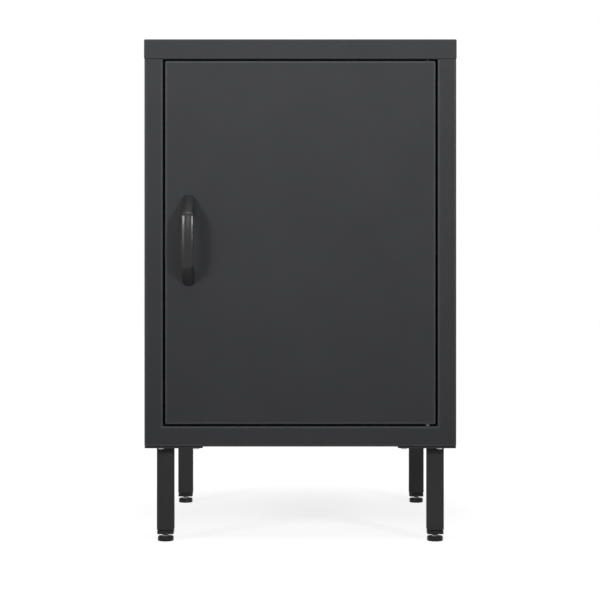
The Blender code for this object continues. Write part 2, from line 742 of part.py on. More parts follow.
TUBE_LOW = PAD_HEIGHT + NECK + END_CAP_COLLAR + SEAT
PLATE_LOW = UNDERSIDE - SEAT - PLATE_THICKNESS
TUBE_HIGH = PLATE_LOW - SEAT
LEG_AXIS = LEG_INSET + LEG_SIZE / 2
COLLAR_LOW = PAD_HEIGHT + NECK


def leg_plate(name, frame):
    """Thin square plate that the leg is welded to, screwed up into the shell's bottom."""
    outline = rounded_outline(PLATE_SIZE, PLATE_SIZE, PLATE_CORNER)
    middle = (PLATE_SIZE / 2, PLATE_SIZE / 2)
    rings = [level_ring(outline, z, middle) for z in (PLATE_LOW, PLATE_LOW + PLATE_THICKNESS)]
    return place(name, solid_of_rings(name, rings), POWDER_COAT_LEG, frame)


def plate_screw_places():
    """The four screws of a plate, in its own corner's axes: two along each outer edge."""
    near, far, edge = PLATE_SCREW_NEAR, PLATE_SCREW_FAR, PLATE_SCREW_EDGE
    return (("near", (near, edge)), ("far", (far, edge)), ("side_near", (edge, near)), ("side_far", (edge, far)))


def plate_screw_holes(name, frame):
    """One cutter with the four screw holes of a leg plate."""
    radius = PLATE_SCREW_RADIUS + SEAT
    low = PLATE_LOW - OVERRUN
    high = UNDERSIDE + OVERRUN
    bm = bmesh.new()
    for _, (u, v) in plate_screw_places():
        hole = drill(name, radius, low, high)
        hole.transform(Matrix.Translation((u, v, 0)))
        bm.from_mesh(hole)
        bpy.data.meshes.remove(hole)
    mesh = bpy.data.meshes.new(name)
    bm.to_mesh(mesh)
    bm.free()
    return cutter(name, mesh, frame)


def leg_screw(name, frame, u, v):
    head = PLATE_LOW - SEAT
    mesh = turned(name, [
        (PLATE_SCREW_HEAD_RADIUS - PLATE_SCREW_HEAD / 2, head - PLATE_SCREW_HEAD),
        (PLATE_SCREW_HEAD_RADIUS, head - PLATE_SCREW_HEAD / 2),
        (PLATE_SCREW_HEAD_RADIUS, head),
        (PLATE_SCREW_RADIUS, head),
        (PLATE_SCREW_RADIUS, head + PLATE_SCREW_LENGTH),
    ], sides=HOLE_SIDES)
    return place(name, mesh, ZINC, frame, (u, v, 0))


def leg_tube(name, frame):
    outline = rounded_outline(LEG_SIZE, LEG_SIZE, LEG_CORNER)
    rings = [level_ring(outline, z, (LEG_AXIS, LEG_AXIS)) for z in (TUBE_LOW, TUBE_HIGH)]
    faces = walls_between(rings)
    return folded_sheet(name, faces, (1, 1, 0), POWDER_COAT_LEG, thickness=LEG_WALL, bend=0, parent=frame)


def leg_end_cap(name, frame):
    """Moulded plug: a collar under the tube and a body inside it, bored for the foot's stem."""
    collar_size = LEG_SIZE - 2 * END_CAP_COLLAR_STEP
    inside = LEG_SIZE - 2 * (LEG_WALL + SEAT)
    collar = rounded_outline(collar_size, collar_size, LEG_CORNER, CORNER_POINTS + 1)
    body = rounded_outline(inside, inside, LEG_CORNER, CORNER_POINTS + 1)
    bore = round_outline_facing(collar, STEM_RADIUS + SEAT)
    top = TUBE_LOW + END_CAP_INSERT
    rings = [
        level_ring(bore, COLLAR_LOW),
        level_ring(collar, COLLAR_LOW),
        level_ring(collar, COLLAR_LOW + END_CAP_COLLAR),
        level_ring(body, COLLAR_LOW + END_CAP_COLLAR),
        level_ring(body, top),
        level_ring(bore, top),
    ]
    mesh = solid_of_rings(name, rings, through=True)
    return place(name, mesh, BLACK_PLASTIC, frame, (LEG_AXIS, LEG_AXIS, 0))


def round_outline_facing(outline, radius):
    """A circle whose points lie towards those of another outline about the same middle."""
    first = Vector(outline[0])
    start = math.atan2(first.y, first.x) + math.pi / len(outline)
    step = 2 * math.pi / len(outline)
    angles = [start + i * step for i in range(len(outline))]
    return [(radius * math.cos(angle), radius * math.sin(angle)) for angle in angles]


def foot_stem(name, frame):
    low = PAD_HEIGHT - PAD_SOCKET_DEPTH + SEAT
    mesh = turned(name, [(STEM_RADIUS, low), (STEM_RADIUS, low + STEM_LENGTH)])
    return place(name, mesh, ZINC, frame, (LEG_AXIS, LEG_AXIS, 0))


def foot_pad(name, frame):
    """Round glide with a rounded rim and the stem's socket in its top."""
    socket = STEM_RADIUS + SEAT
    mesh = turned(name, [
        (PAD_RADIUS - PAD_EDGE, 0),
        (PAD_RADIUS, PAD_EDGE),
        (PAD_RADIUS, PAD_HEIGHT - PAD_EDGE),
        (PAD_RADIUS - PAD_EDGE, PAD_HEIGHT),
        (socket, PAD_HEIGHT),
        (socket, PAD_HEIGHT - PAD_SOCKET_DEPTH),
    ], sides=PAD_SIDES)
    return place(name, mesh, BLACK_PLASTIC, frame, (LEG_AXIS, LEG_AXIS, 0))


def legs(shell):
    """Four alike corner sets, each turned a quarter from the last."""
    corners = (("front_left", -1, FRONT), ("front_right", 1, FRONT), ("rear_right", 1, BACK), ("rear_left", -1, BACK))
    for quarter, (corner, side, y) in enumerate(corners):
        frame = axis_empty(f"{corner}_corner", (side * SHELL_HALF, y, 0), quarter * math.pi / 2)
        holes = plate_screw_holes(f"{corner}_screw_holes", frame)
        cut(leg_plate(f"leg_plate_{corner}", frame), holes)
        cut(shell, holes)
        leg_tube(f"leg_tube_{corner}", frame)
        leg_end_cap(f"leg_end_cap_{corner}", frame)
        foot_stem(f"foot_stem_{corner}", frame)
        foot_pad(f"foot_pad_{corner}", frame)
        along_front = plate_screw_places()[:2] if quarter % 2 == 0 else plate_screw_places()[2:]
        for name, (u, v) in along_front:
            leg_screw(f"leg_screw_{corner}_{name.replace('side_', '')}", frame, u, v)


def build():
    for obj in list(bpy.data.objects):
        bpy.data.objects.remove(obj, do_unlink=True)
    top = top_panel()
    shell = body_shell()
    back_panel()
    floor_panel()
    shelving()
    magnet_catch()
    door_buffers()
    axis = axis_empty("door_hinge_axis", (PIVOT_X, PIVOT_Y, 0))
    door_panel(axis)
    door_stiffener(axis)
    handle(axis)
    pivots(axis)
    pivot_holes(top, shell)
    legs(shell)


build()
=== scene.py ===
"""Looks of a small anthracite steel storage locker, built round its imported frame, in metres."""

import math

import bmesh
import bpy
from mathutils import Matrix, Vector


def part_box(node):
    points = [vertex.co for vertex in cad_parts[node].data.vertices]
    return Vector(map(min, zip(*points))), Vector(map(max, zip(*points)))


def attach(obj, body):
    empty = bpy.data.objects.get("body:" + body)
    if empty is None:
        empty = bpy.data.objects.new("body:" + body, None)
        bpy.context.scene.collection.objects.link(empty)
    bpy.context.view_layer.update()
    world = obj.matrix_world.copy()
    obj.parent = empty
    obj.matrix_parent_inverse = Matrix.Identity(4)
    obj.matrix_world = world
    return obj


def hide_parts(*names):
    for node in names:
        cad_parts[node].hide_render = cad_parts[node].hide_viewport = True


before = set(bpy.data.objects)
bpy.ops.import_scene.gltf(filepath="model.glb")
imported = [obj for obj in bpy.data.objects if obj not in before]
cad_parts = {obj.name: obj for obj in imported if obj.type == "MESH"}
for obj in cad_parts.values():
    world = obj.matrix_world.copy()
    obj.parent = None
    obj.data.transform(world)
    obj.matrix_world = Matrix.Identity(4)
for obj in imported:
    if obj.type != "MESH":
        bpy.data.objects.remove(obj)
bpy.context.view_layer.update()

# Body shell: one 0.8 mm steel sheet wrapped round the left wall, bottom and right wall.
# Its posts, bottom rail and rear flanges are folded on a press brake, the corners mitred
# and welded, and the whole is powder coated in a fine matt anthracite.
SHEET = 0.0008
BEND = 0.0015
BEND_STEPS = 6
FOLD_FADE = 0.0012
NARROWEST_FADED = 2.5 * FOLD_FADE
CORNER_ANGLE = math.radians(35)
FLAT_ANGLE = math.radians(0.5)
FLAT_WEIGHT = 60
MERGE = 0.00001
OVERRUN = 0.002
HOLE_SIDES = 24
HOLE_PLAY = 0.0003
POST_FACE = 0.0207
RAIL_FACE = 0.0228
JAMB = 0.030
JAMB_RETURN = 0.012
REAR_FLANGE = 0.018
CORNERS = ("front_left", "front_right", "rear_right", "rear_left")
PLATE_SCREW_RADIUS = 0.002
PLATE_SCREW_NEAR = 0.0185
PLATE_SCREW_FAR = 0.058
PLATE_SCREW_EDGE = 0.0062
PIVOT_RADIUS = 0.00225
ANTHRACITE = (0.0508, 0.0518, 0.0547)
ANTHRACITE_CLOUD = (0.0540, 0.0551, 0.0577)
# A lighter colour painted along the folds as their highlight.
ANTHRACITE_FOLD_HIGHLIGHT = (0.0860, 0.0880, 0.0920)
COAT_SPECULAR = 0.12
COAT_CLOUDS = (14.0, 4.0)
COAT_GLOSS = (40.0, 3.0, 0.68, 0.76)
COAT_PEEL = (420.0, 1.0, 0.35, 0.00012)
COAT_GRAIN = (1900.0, 2.0, 0.45, 0.00003)
# Noise that breaks up the painted fold highlight, and how much smoother the coat is on the folds.
FOLD_HIGHLIGHT_BREAKUP = (160.0, 3.0, 0.55, 1.0)
FOLD_SMOOTHER = 0.80

shell_low, shell_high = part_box("body_shell")
FRONT = shell_low.y
BACK = shell_high.y
SHELL_HALF = shell_high.x
UNDERSIDE = shell_low.z
SHELL_TOP = shell_high.z
JAMB_X = SHELL_HALF - POST_FACE
JAMB_REAR = FRONT + JAMB
RAIL_TOP = UNDERSIDE + RAIL_FACE


def add_node(tree, kind, values=None, output=0, **settings):
    """One output of a new node; its inputs take values, other nodes' outputs or lists of them."""
    made = tree.nodes.new(kind)
    for key, value in settings.items():
        setattr(made, key, value)
    for key, value in (values or {}).items():
        for one in value if isinstance(value, list) else [value]:
            if isinstance(one, bpy.types.NodeSocket):
                tree.links.new(one, made.inputs[key])
            else:
                made.inputs[key].default_value = one
    return made.outputs[output]


def maths(tree, operation, first, second):
    """A sum on two values, each a number or another node's output."""
    return add_node(tree, "ShaderNodeMath", {0: first, 1: second}, operation=operation)


def noise(tree, where, scale, detail):
    """Noise on the piece's own coordinates; scale counts features to the metre."""
    values = {"Vector": where, "Scale": scale, "Detail": detail}
    return add_node(tree, "ShaderNodeTexNoise", values)


def spread(tree, value, low, high, start=0.3, end=0.7):
    """Maps a noise's middle range to a range of its own."""
    values = {"Value": value, "From Min": start, "From Max": end, "To Min": low, "To Max": high}
    return add_node(tree, "ShaderNodeMapRange", values)


def blend_colours(tree, share, first, second):
    """Mixes two colours, given as outputs or as values, by a share."""
    values = {"Factor": share}
    for key, colour in (("A", first), ("B", second)):
        values[key] = (*colour, 1.0) if isinstance(colour, tuple) else colour
    return add_node(tree, "ShaderNodeMix", values, "Result", data_type="RGBA")


def blank_material(name):
    """A new material, its tree, its shader's inputs and its Object coordinates."""
    made = bpy.data.materials.new(name)
    made.use_nodes = True
    tree = made.node_tree
    where = add_node(tree, "ShaderNodeTexCoord", output="Object")
    return made, tree, tree.nodes["Principled BSDF"].inputs, where


def uneven_finish(name, colours, clouds, gloss, bumps, specular=0.5, metallic=0.0, folds=None):
    """A finish of two clouded colours, with patchy gloss, bumps and a lighter colour painted on
    the folds as their highlight.

    Clouds give a noise's scale and detail, gloss also its lowest and highest roughness,
    and each bump also its strength and its depth in metres.
    """
    finish, tree, shader, where = blank_material(name)
    tone = blend_colours(tree, spread(tree, noise(tree, where, *clouds), 0.0, 1.0), *colours)
    rough = spread(tree, noise(tree, where, *gloss[:2]), *gloss[2:])
    # On the folds a lighter colour is painted in as their highlight, made patchy by noise, and the
    # roughness drops there.
    if folds:
        fold = add_node(tree, "ShaderNodeAttribute", output="Fac", attribute_name="fold")
        rubbed = spread(tree, noise(tree, where, *FOLD_HIGHLIGHT_BREAKUP[:2]), *FOLD_HIGHLIGHT_BREAKUP[2:])
        worn = maths(tree, "MULTIPLY", fold, rubbed)
        tone = blend_colours(tree, worn, tone, folds)
        smoother = spread(tree, worn, 1.0, FOLD_SMOOTHER, 0.0, 1.0)
        rough = maths(tree, "MULTIPLY", rough, smoother)
    normal = {}
    for scale, detail, strength, depth in bumps:
        height = noise(tree, where, scale, detail)
        values = {"Height": height, "Strength": strength, "Distance": depth, **normal}
        normal = {"Normal": add_node(tree, "ShaderNodeBump", values)}
    tree.links.new(tone, shader["Base Color"])
    tree.links.new(rough, shader["Roughness"])
    tree.links.new(normal["Normal"], shader["Normal"])
    shader["Specular IOR Level"].default_value = specular
    shader["Metallic"].default_value = metallic
    return finish


def powder_coat(name, colours, folds):
    """Matt powder coat: clouded tone, orange peel, fine grain, and a lighter colour painted on the
    folds as their highlight.
    """
    bumps = (COAT_PEEL, COAT_GRAIN)
    return uneven_finish(name, colours, COAT_CLOUDS, COAT_GLOSS, bumps, COAT_SPECULAR, folds=folds)


def new_object(name, data):
    made = bpy.data.objects.new(name, data)
    bpy.context.scene.collection.objects.link(made)
    return made


def object_of(name, bm):
    mesh = bpy.data.meshes.new(name)
    bm.to_mesh(mesh)
    bm.free()
    return new_object(name, mesh)


def baked(draft):
    """A plain object with the draft's mesh as its modifiers leave it; the draft is removed."""
    graph = bpy.context.evaluated_depsgraph_get()
    mesh = bpy.data.meshes.new_from_object(draft.evaluated_get(graph), depsgraph=graph)
    mesh.name = name = draft.name
    bpy.data.objects.remove(draft, do_unlink=True)
    return new_object(name, mesh)


def shade_by_angle(made, weighted=True):
    """Smooth folds with crisp sheet edges; flats keep their own normal."""
    made.data.shade_smooth()
    made.data.set_sharp_from_angle(angle=CORNER_ANGLE)
    if weighted:
        even = made.modifiers.new("flats keep their normal", "WEIGHTED_NORMAL")
        even.keep_sharp = True
        even.weight = FLAT_WEIGHT
    return made


def cut_bores(made, bores):
    """Cuts round holes, each a centre, an axis and the radius of what goes through it."""
    bm = bmesh.new()
    for centre, axis, radius in bores:
        turn = Vector(axis).to_track_quat("Z", "Y").to_matrix().to_4x4()
        bmesh.ops.create_cone(
            bm,
            cap_ends=True,
            segments=HOLE_SIDES,
            radius1=radius + HOLE_PLAY,
            radius2=radius + HOLE_PLAY,
            depth=2 * OVERRUN,
            matrix=Matrix.Translation(centre) @ turn,
        )
    tool = object_of(made.name + "_bores", bm)
    made.modifiers.new("holes", "BOOLEAN").object = tool
    drilled = baked(made)
    bpy.data.objects.remove(tool, do_unlink=True)
    return drilled


def folded_sheet(name, faces, outward, finish, thick=SHEET, bend=BEND, bores=(), fold_highlight_share=1.0):
    """A sheet folded along its outer skin's shared edges, with a fold attribute on the bends that
    carries the painted fold highlight.
    """
    bm = bmesh.new()
    for face in faces:
        bm.faces.new([bm.verts.new(point) for point in face])
    bmesh.ops.remove_doubles(bm, verts=bm.verts, dist=MERGE)
    bmesh.ops.recalc_face_normals(bm, faces=bm.faces)
    bm.faces.ensure_lookup_table()
    if bm.faces[0].normal.dot(Vector(outward)) < 0:
        bmesh.ops.reverse_faces(bm, faces=bm.faces)
    draft = object_of(name + "_draft", bm)
    draft.data.materials.append(finish)
    draft.data.materials.append(finish)
    roll = draft.modifiers.new("rolled folds", "BEVEL")
    roll.width = bend
    roll.segments = BEND_STEPS
    roll.limit_method = "ANGLE"
    roll.angle_limit = CORNER_ANGLE
    roll.use_clamp_overlap = False
    roll.material = 1
    wall = draft.modifiers.new("sheet", "SOLIDIFY")
    wall.thickness = thick
    wall.offset = -1
    wall.use_even_offset = True
    draft = baked(draft)
    bm = bmesh.new()
    bm.from_mesh(draft.data)
    bpy.data.objects.remove(draft, do_unlink=True)
    seams = []
    for edge in bm.edges:
        if len(edge.link_faces) == 2 and not any(f.material_index for f in edge.link_faces):
            if edge.calc_face_angle() < FLAT_ANGLE:
                seams.append(edge)
    bmesh.ops.dissolve_edges(bm, edges=seams)
    flats = []
    for face in bm.faces:
        narrow_side = 2 * face.calc_area() / face.calc_perimeter()
        if face.material_index == 0 and narrow_side > NARROWEST_FADED:
            flats.append(face)
    bmesh.ops.inset_individual(bm, faces=flats, thickness=FOLD_FADE, use_even_offset=True)
    fold = bm.verts.layers.float.new("fold")
    for vert in bm.verts:
        # The fold attribute sets where the finish paints its fold highlight, scaled by the share.
        vert[fold] = fold_highlight_share if any(f.material_index == 1 for f in vert.link_faces) else 0.0
    for face in bm.faces:
        face.material_index = 0
    made = object_of(name, bm)
    if bores:
        made = cut_bores(made, bores)
    made.data.materials.clear()
    made.data.materials.append(finish)
    return shade_by_angle(made)


def walls_between(rings, closed=True):
    """Quads from each ring of points to the next, the rings closed or open."""
    faces = []
    for near, far in zip(rings, rings[1:]):
        for i in range(len(near) if closed else len(near) - 1):
            j = (i + 1) % len(near)
            faces.append([near[i], near[j], far[j], far[i]])
    return faces


def on_body(piece, body, slot, *nodes):
    """A finished piece that moves with a body, in place of CAD nodes; its slot is not used."""
    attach(piece, body)
    if nodes:
        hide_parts(*nodes)
    return piece


coat = powder_coat("anthracite powder coat", (ANTHRACITE, ANTHRACITE_CLOUD), ANTHRACITE_FOLD_HIGHLIGHT)

fold_line = [
    (REAR_FLANGE, REAR_FLANGE, BACK),
    (0, 0, BACK),
    (0, 0, FRONT),
    (POST_FACE, RAIL_FACE, FRONT),
    (POST_FACE, RAIL_FACE, JAMB_REAR),
    (POST_FACE - JAMB_RETURN, RAIL_FACE - JAMB_RETURN, JAMB_REAR),
]
sections = []
for side, at_bottom in ((-1, False), (-1, True), (1, True), (1, False)):
    section = []
    for from_wall, from_bottom, y in fold_line:
        z = UNDERSIDE + from_bottom if at_bottom else SHELL_TOP
        section.append((side * (SHELL_HALF - from_wall), y, z))
    sections.append(section)
shell_faces = walls_between(sections, closed=False)
shell_faces.insert(0, shell_faces.pop(1))

pin_low, pin_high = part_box("bottom_pivot_pin")
PIVOT_X = (pin_low.x + pin_high.x) / 2
PIVOT_Y = (pin_low.y + pin_high.y) / 2
plate_screw_spots = []
for corner in CORNERS:
    side = -1 if corner.endswith("left") else 1
    edge_y, inward = (FRONT, 1) if corner.startswith("front") else (BACK, -1)
    for u, v in (
        (PLATE_SCREW_NEAR, PLATE_SCREW_EDGE),
        (PLATE_SCREW_FAR, PLATE_SCREW_EDGE),
        (PLATE_SCREW_EDGE, PLATE_SCREW_NEAR),
        (PLATE_SCREW_EDGE, PLATE_SCREW_FAR),
    ):
        plate_screw_spots.append((side * (SHELL_HALF - u), edge_y + inward * v))
shell_bores = [((x, y, UNDERSIDE), (0, 0, 1), PLATE_SCREW_RADIUS) for x, y in plate_screw_spots]
shell_bores.append(((PIVOT_X, PIVOT_Y, RAIL_TOP), (0, 0, 1), PIVOT_RADIUS))
shell = folded_sheet("wrapped_shell", shell_faces, (-1, 0, 0), coat, bores=shell_bores)
on_body(shell, "carcass", "powder_coat", "body_shell")

# Back panel: a shallow pan of the same coated sheet, folded forward on all four sides.
# It stands inside the shell, in front of the rear flanges, and is spot-welded to them.


def upright_rectangle(low, high, y, inset=0.0):
    """An upright rectangle between two corners, drawn in by an inset."""
    left, right = low.x + inset, high.x - inset
    bottom, top = low.z + inset, high.z - inset
    return [(left, y, bottom), (right, y, bottom), (right, y, top), (left, y, top)]


def folded_pan(name, rings, outward, body, node, bores=()):
    """A pan of coated sheet: its first ring's face, with walls folded through the other rings."""
    pan = folded_sheet(name, rings[:1] + walls_between(rings), outward, coat, bores=bores)
    return on_body(pan, body, "powder_coat", node)


low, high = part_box("back_panel")
rings = [upright_rectangle(low, high, y) for y in (high.y, low.y)]
folded_pan("back_pan", rings, (0, 1, 0), "carcass", "back_panel")

# Compartment floor: an inverted tray, level with the bottom rail's ledge, welded inside.
# It closes the box under the things that are stored and hides the legs' screws.


def level_rectangle(low, high, z, inset=0.0):
    """A level rectangle between two corners, drawn in by an inset."""
    left, right = low.x + inset, high.x - inset
    front, rear = low.y + inset, high.y - inset
    return [(left, front, z), (right, front, z), (right, rear, z), (left, rear, z)]


low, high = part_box("floor_panel")
rings = [level_rectangle(low, high, z) for z in (high.z, low.z)]
folded_pan("compartment_floor", rings, (0, 0, 1), "carcass", "floor_panel")

# Lid: a folded pan that caps the box, its flange 22 mm high with a seam line over the posts.
# A return runs all round inside, and the front one drops behind the door as its stop.
TOP_RETURN = 0.014
TOP_FRONT_RETURN = 0.019
STOP_LIP = 0.012
STOP_LIP_END_GAP = 0.004
RELIEF_WIDTH = 0.002
RELIEF_DEPTH = 0.003
# The lid's folds get only a fifth of the painted fold highlight.
LID_FOLD_HIGHLIGHT_SHARE = 0.2
SEAM_GAP = 0.0003
low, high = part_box("top_panel")
TOP_SEAM = SHELL_TOP + SEAM_GAP
STOP_FACE = low.y + TOP_FRONT_RETURN

lid_skin = level_rectangle(low, high, high.z)
lid_flange = level_rectangle(low, high, TOP_SEAM)
lid_inner = level_rectangle(low, high, TOP_SEAM, TOP_RETURN)
for i in (0, 1):
    lid_inner[i] = (lid_inner[i][0], STOP_FACE, TOP_SEAM)
lip_end = JAMB_X - STOP_LIP_END_GAP
cut_end = lip_end + RELIEF_WIDTH
cut_y = STOP_FACE - RELIEF_DEPTH
notch = [(cut_end, STOP_FACE), (cut_end, cut_y), (lip_end, cut_y), (lip_end, STOP_FACE)]
notch += [(-x, y) for x, y in reversed(notch)]
front_return = [lid_flange[0], lid_flange[1], lid_inner[1]]
front_return += [(x, y, TOP_SEAM) for x, y in notch] + [lid_inner[0]]
stop_lip = []
for end, drop in ((1, 0), (-1, 0), (-1, STOP_LIP), (1, STOP_LIP)):
    stop_lip.append((end * lip_end, STOP_FACE, TOP_SEAM - drop))
lid_faces = [lid_skin] + walls_between([lid_skin, lid_flange])
lid_faces += walls_between([lid_flange, lid_inner])[1:] + [front_return, stop_lip]
lid_bores = [((PIVOT_X, PIVOT_Y, TOP_SEAM), (0, 0, 1), PIVOT_RADIUS)]
lid = folded_sheet("lid", lid_faces, (0, 0, 1), coat, bores=lid_bores, fold_highlight_share=LID_FOLD_HIGHLIGHT_SHARE)
on_body(lid, "carcass", "powder_coat", "top_panel")

# Shelf uprights: four channel strips with a ladder of nine slots, welded to the side walls.
# The slots take the shelf's clips, so that the shelf can be hung at another height.
UPRIGHT_SHEET = 0.001
UPRIGHT_BEND = 0.0006
SLOT_WIDTH = 0.010
SLOT_HEIGHT = 0.006
SLOT_PITCH = 0.040
SLOT_COUNT = 9
INNER_CORNERS = ("front_left", "front_right", "rear_left", "rear_right")


def boxes_of(kind, corners=CORNERS):
    """Each corner's name, its CAD node of a kind, and the node's box and middle."""
    for corner in corners:
        node = f"{kind}_{corner}"
        low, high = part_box(node)
        yield corner, node, low, high, (low + high) / 2


def slotted_upright(name, low, high):
    """A channel, open towards its wall, with its slots left out of the web."""
    wall, face = (high.x, low.x) if low.x > 0 else (low.x, high.x)
    middle = (low.y + high.y) / 2
    start = (low.z + high.z - (SLOT_COUNT - 1) * SLOT_PITCH - SLOT_HEIGHT) / 2
    levels = [low.z]
    for i in range(SLOT_COUNT):
        levels += [start + i * SLOT_PITCH, start + i * SLOT_PITCH + SLOT_HEIGHT]
    levels.append(high.z)
    near, far = middle - SLOT_WIDTH / 2, middle + SLOT_WIDTH / 2
    faces = []
    for inner, outer in ((near, low.y), (far, high.y)):
        side = [(face, outer, z) for z in levels] + [(wall, outer, high.z), (wall, outer, low.z)]
        faces.append(side)
        for z0, z1 in zip(levels, levels[1:]):
            rim = [(face, inner, z0), (face, outer, z0), (face, outer, z1), (face, inner, z1)]
            faces.append(rim)
    for z0, z1 in zip(levels[0::2], levels[1::2]):
        faces.append([(face, near, z0), (face, far, z0), (face, far, z1), (face, near, z1)])
    return folded_sheet(name, faces, (0, -1, 0), coat, UPRIGHT_SHEET, UPRIGHT_BEND)


for corner, node, low, high, _ in boxes_of("shelf_upright", INNER_CORNERS):
    strip = slotted_upright(f"slotted_upright_{corner}", low, high)
    on_body(strip, "carcass", "powder_coat", node)

# Shelf clips: pressed hooks of bright zinc-plated spring steel, 1.5 mm thick.
# Each drops behind a slot's lower edge, and its foot carries a corner of the shelf.
ZINC = (0.50, 0.51, 0.52)
ZINC_BLOOM = (0.60, 0.61, 0.60)
ZINC_CLOUDS = (220.0, 3.0)
ZINC_GLOSS = (500.0, 4.0, 0.26, 0.42)
ZINC_GRAIN = (2600.0, 2.0, 0.25, 0.00002)
CLIP_THICKNESS = 0.0015
CLIP_HOOK = 0.005


def zinc_plate(name, colour, bloom, gloss=ZINC_GLOSS):
    """Zinc plate: uneven sheen, faint passivation bloom and fine rolling marks."""
    return uneven_finish(name, (colour, bloom), ZINC_CLOUDS, gloss, (ZINC_GRAIN,), metallic=1.0)


zinc = zinc_plate("bright zinc plate", ZINC, ZINC_BLOOM)


def hook_clip(name, low, high):
    """A strip folded four times: hook, neck, drop and foot, seen along Y."""
    side = 1 if low.x > 0 else -1
    back, front = (high.x, low.x) if side > 0 else (low.x, high.x)
    drop = back - side * (2 * CLIP_THICKNESS + 2 * SEAM_GAP + UPRIGHT_SHEET)
    top, foot = high.z, low.z + CLIP_THICKNESS
    path = [(back, top - CLIP_HOOK), (back, top), (drop, top), (drop, foot), (front, foot)]
    faces = walls_between([[(x, y, z) for x, z in path] for y in (low.y, high.y)], closed=False)
    return folded_sheet(name, faces, (side, 0, 0), zinc, CLIP_THICKNESS, CLIP_THICKNESS)


for corner, node, low, high, _ in boxes_of("shelf_clip", INNER_CORNERS):
    clip = hook_clip(f"hook_clip_{corner}", low, high)
    on_body(clip, "carcass", "zinc", node)

# Shelf: a tray of coated sheet folded down all round, with a return under its edge.
# It lies loose on the four clips, a little short of the jambs and the back.
SHELF_RETURN = 0.010
low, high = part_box("shelf")
rings = [
    level_rectangle(low, high, high.z),
    level_rectangle(low, high, low.z),
    level_rectangle(low, high, low.z, SHELF_RETURN),
]
folded_pan("shelf_tray", rings, (0, 0, 1), "carcass", "shelf")

# Leg plates: 1.5 mm squares with rounded corners, screwed up into the shell's bottom.
# They are coated black before assembly, so the screw heads over them stay bright.
LEG_BLACK = (0.0487, 0.0487, 0.0494)
LEG_CLOUD = (0.0524, 0.0524, 0.0531)
# A lighter colour painted along the leg coat's folds as their highlight.
LEG_FOLD_HIGHLIGHT = (0.0680, 0.0683, 0.0695)
PLATE_CORNER = 0.003
PLATE_EDGE = 0.00025
CORNER_POINTS = 9
leg_coat = powder_coat("black powder coat", (LEG_BLACK, LEG_CLOUD), LEG_FOLD_HIGHLIGHT)


def rounded_outline(width, height, radius):
    """A rectangle with rounded corners about its middle."""
    outline = []
    for turn, sx, sy in ((0, 1, 1), (1, -1, 1), (2, -1, -1), (3, 1, -1)):
        cx = sx * (width / 2 - radius)
        cy = sy * (height / 2 - radius)
        for i in range(CORNER_POINTS):
            angle = (turn + i / (CORNER_POINTS - 1)) * math.pi / 2
            outline.append((cx + radius * math.cos(angle), cy + radius * math.sin(angle)))
    return outline


def level_ring(outline, z, centre):
    return [(centre[0] + u, centre[1] + v, z) for u, v in outline]


def ring_solid(name, rings, finish, through=False, edge=0.0, edge_steps=3):
    """A closed solid through rings of equal count, with its sharp edges softly rounded."""
    bm = bmesh.new()
    loops = [[bm.verts.new(point) for point in ring] for ring in rings]
    caps = [] if through else [loops[0], loops[-1]]
    for face in caps + walls_between(loops + loops[:1] if through else loops):
        bm.faces.new(face)
    bmesh.ops.recalc_face_normals(bm, faces=bm.faces)
    made = object_of(name, bm)
    made.data.materials.append(finish)
    if edge:
        soft = made.modifiers.new("rounded edges", "BEVEL")
        soft.width = edge
        soft.segments = edge_steps
        soft.limit_method = "ANGLE"
        soft.angle_limit = CORNER_ANGLE
        made = baked(made)
    return shade_by_angle(made)


for corner, node, low, high, middle in boxes_of("leg_plate"):
    outline = rounded_outline(high.x - low.x, high.y - low.y, PLATE_CORNER)
    rings = [level_ring(outline, z, middle) for z in (low.z, high.z)]
    plate = ring_solid(f"plate_{corner}", rings, leg_coat, edge=PLATE_EDGE, edge_steps=2)
    bores = []
    for x, y in plate_screw_spots:
        if low.x < x < high.x and low.y < y < high.y:
            bores.append(((x, y, low.z), (0, 0, 1), PLATE_SCREW_RADIUS))
    plate = shade_by_angle(cut_bores(plate, bores))
    on_body(plate, "carcass", "leg_coat", node)

# Legs: 19 mm square steel tube with rounded corners, welded to their plates all round.
# The tube's lower end is open for the plug of the levelling foot.
LEG_WALL = 0.0012
LEG_CORNER = 0.002
for corner, node, low, high, middle in boxes_of("leg_tube"):
    across, deep = high.x - low.x, high.y - low.y
    outer = rounded_outline(across, deep, LEG_CORNER)
    inner = rounded_outline(across - 2 * LEG_WALL, deep - 2 * LEG_WALL, LEG_CORNER - LEG_WALL)
    ends = ((outer, low.z), (outer, high.z), (inner, high.z), (inner, low.z))
    rings = [level_ring(outline, z, middle) for outline, z in ends]
    tube = ring_solid(f"square_leg_{corner}", rings, leg_coat, through=True)
    on_body(tube, "carcass", "leg_coat", node)

# Weld beads: a run of overlapping scales where each tube meets its plate, coated over.
# They follow the tube's rounded square, one scale every 1.6 mm.
BEAD_PITCH = 0.0016
BEAD_WIDTH = 0.0034
BEAD_RISE = 0.0026
BEAD_OVERLAP = 2.1
BEAD_SMALLEST = 0.85
BEAD_LARGEST = 1.15
BEAD_SEED = 11


def new_tree(name, sizes):
    """A Geometry Nodes tree and its named inputs: a host, sizes with their defaults, a finish."""
    tree = bpy.data.node_groups.new(name, "GeometryNodeTree")
    kinds = {"Host": "Geometry", **dict.fromkeys(sizes, "Float"), "Finish": "Material"}
    for key, kind in kinds.items():
        socket = tree.interface.new_socket(key, in_out="INPUT", socket_type=f"NodeSocket{kind}")
        if key in sizes:
            socket.default_value = sizes[key]
    tree.interface.new_socket("Result", in_out="OUTPUT", socket_type="NodeSocketGeometry")
    return tree, tree.nodes.new("NodeGroupInput").outputs


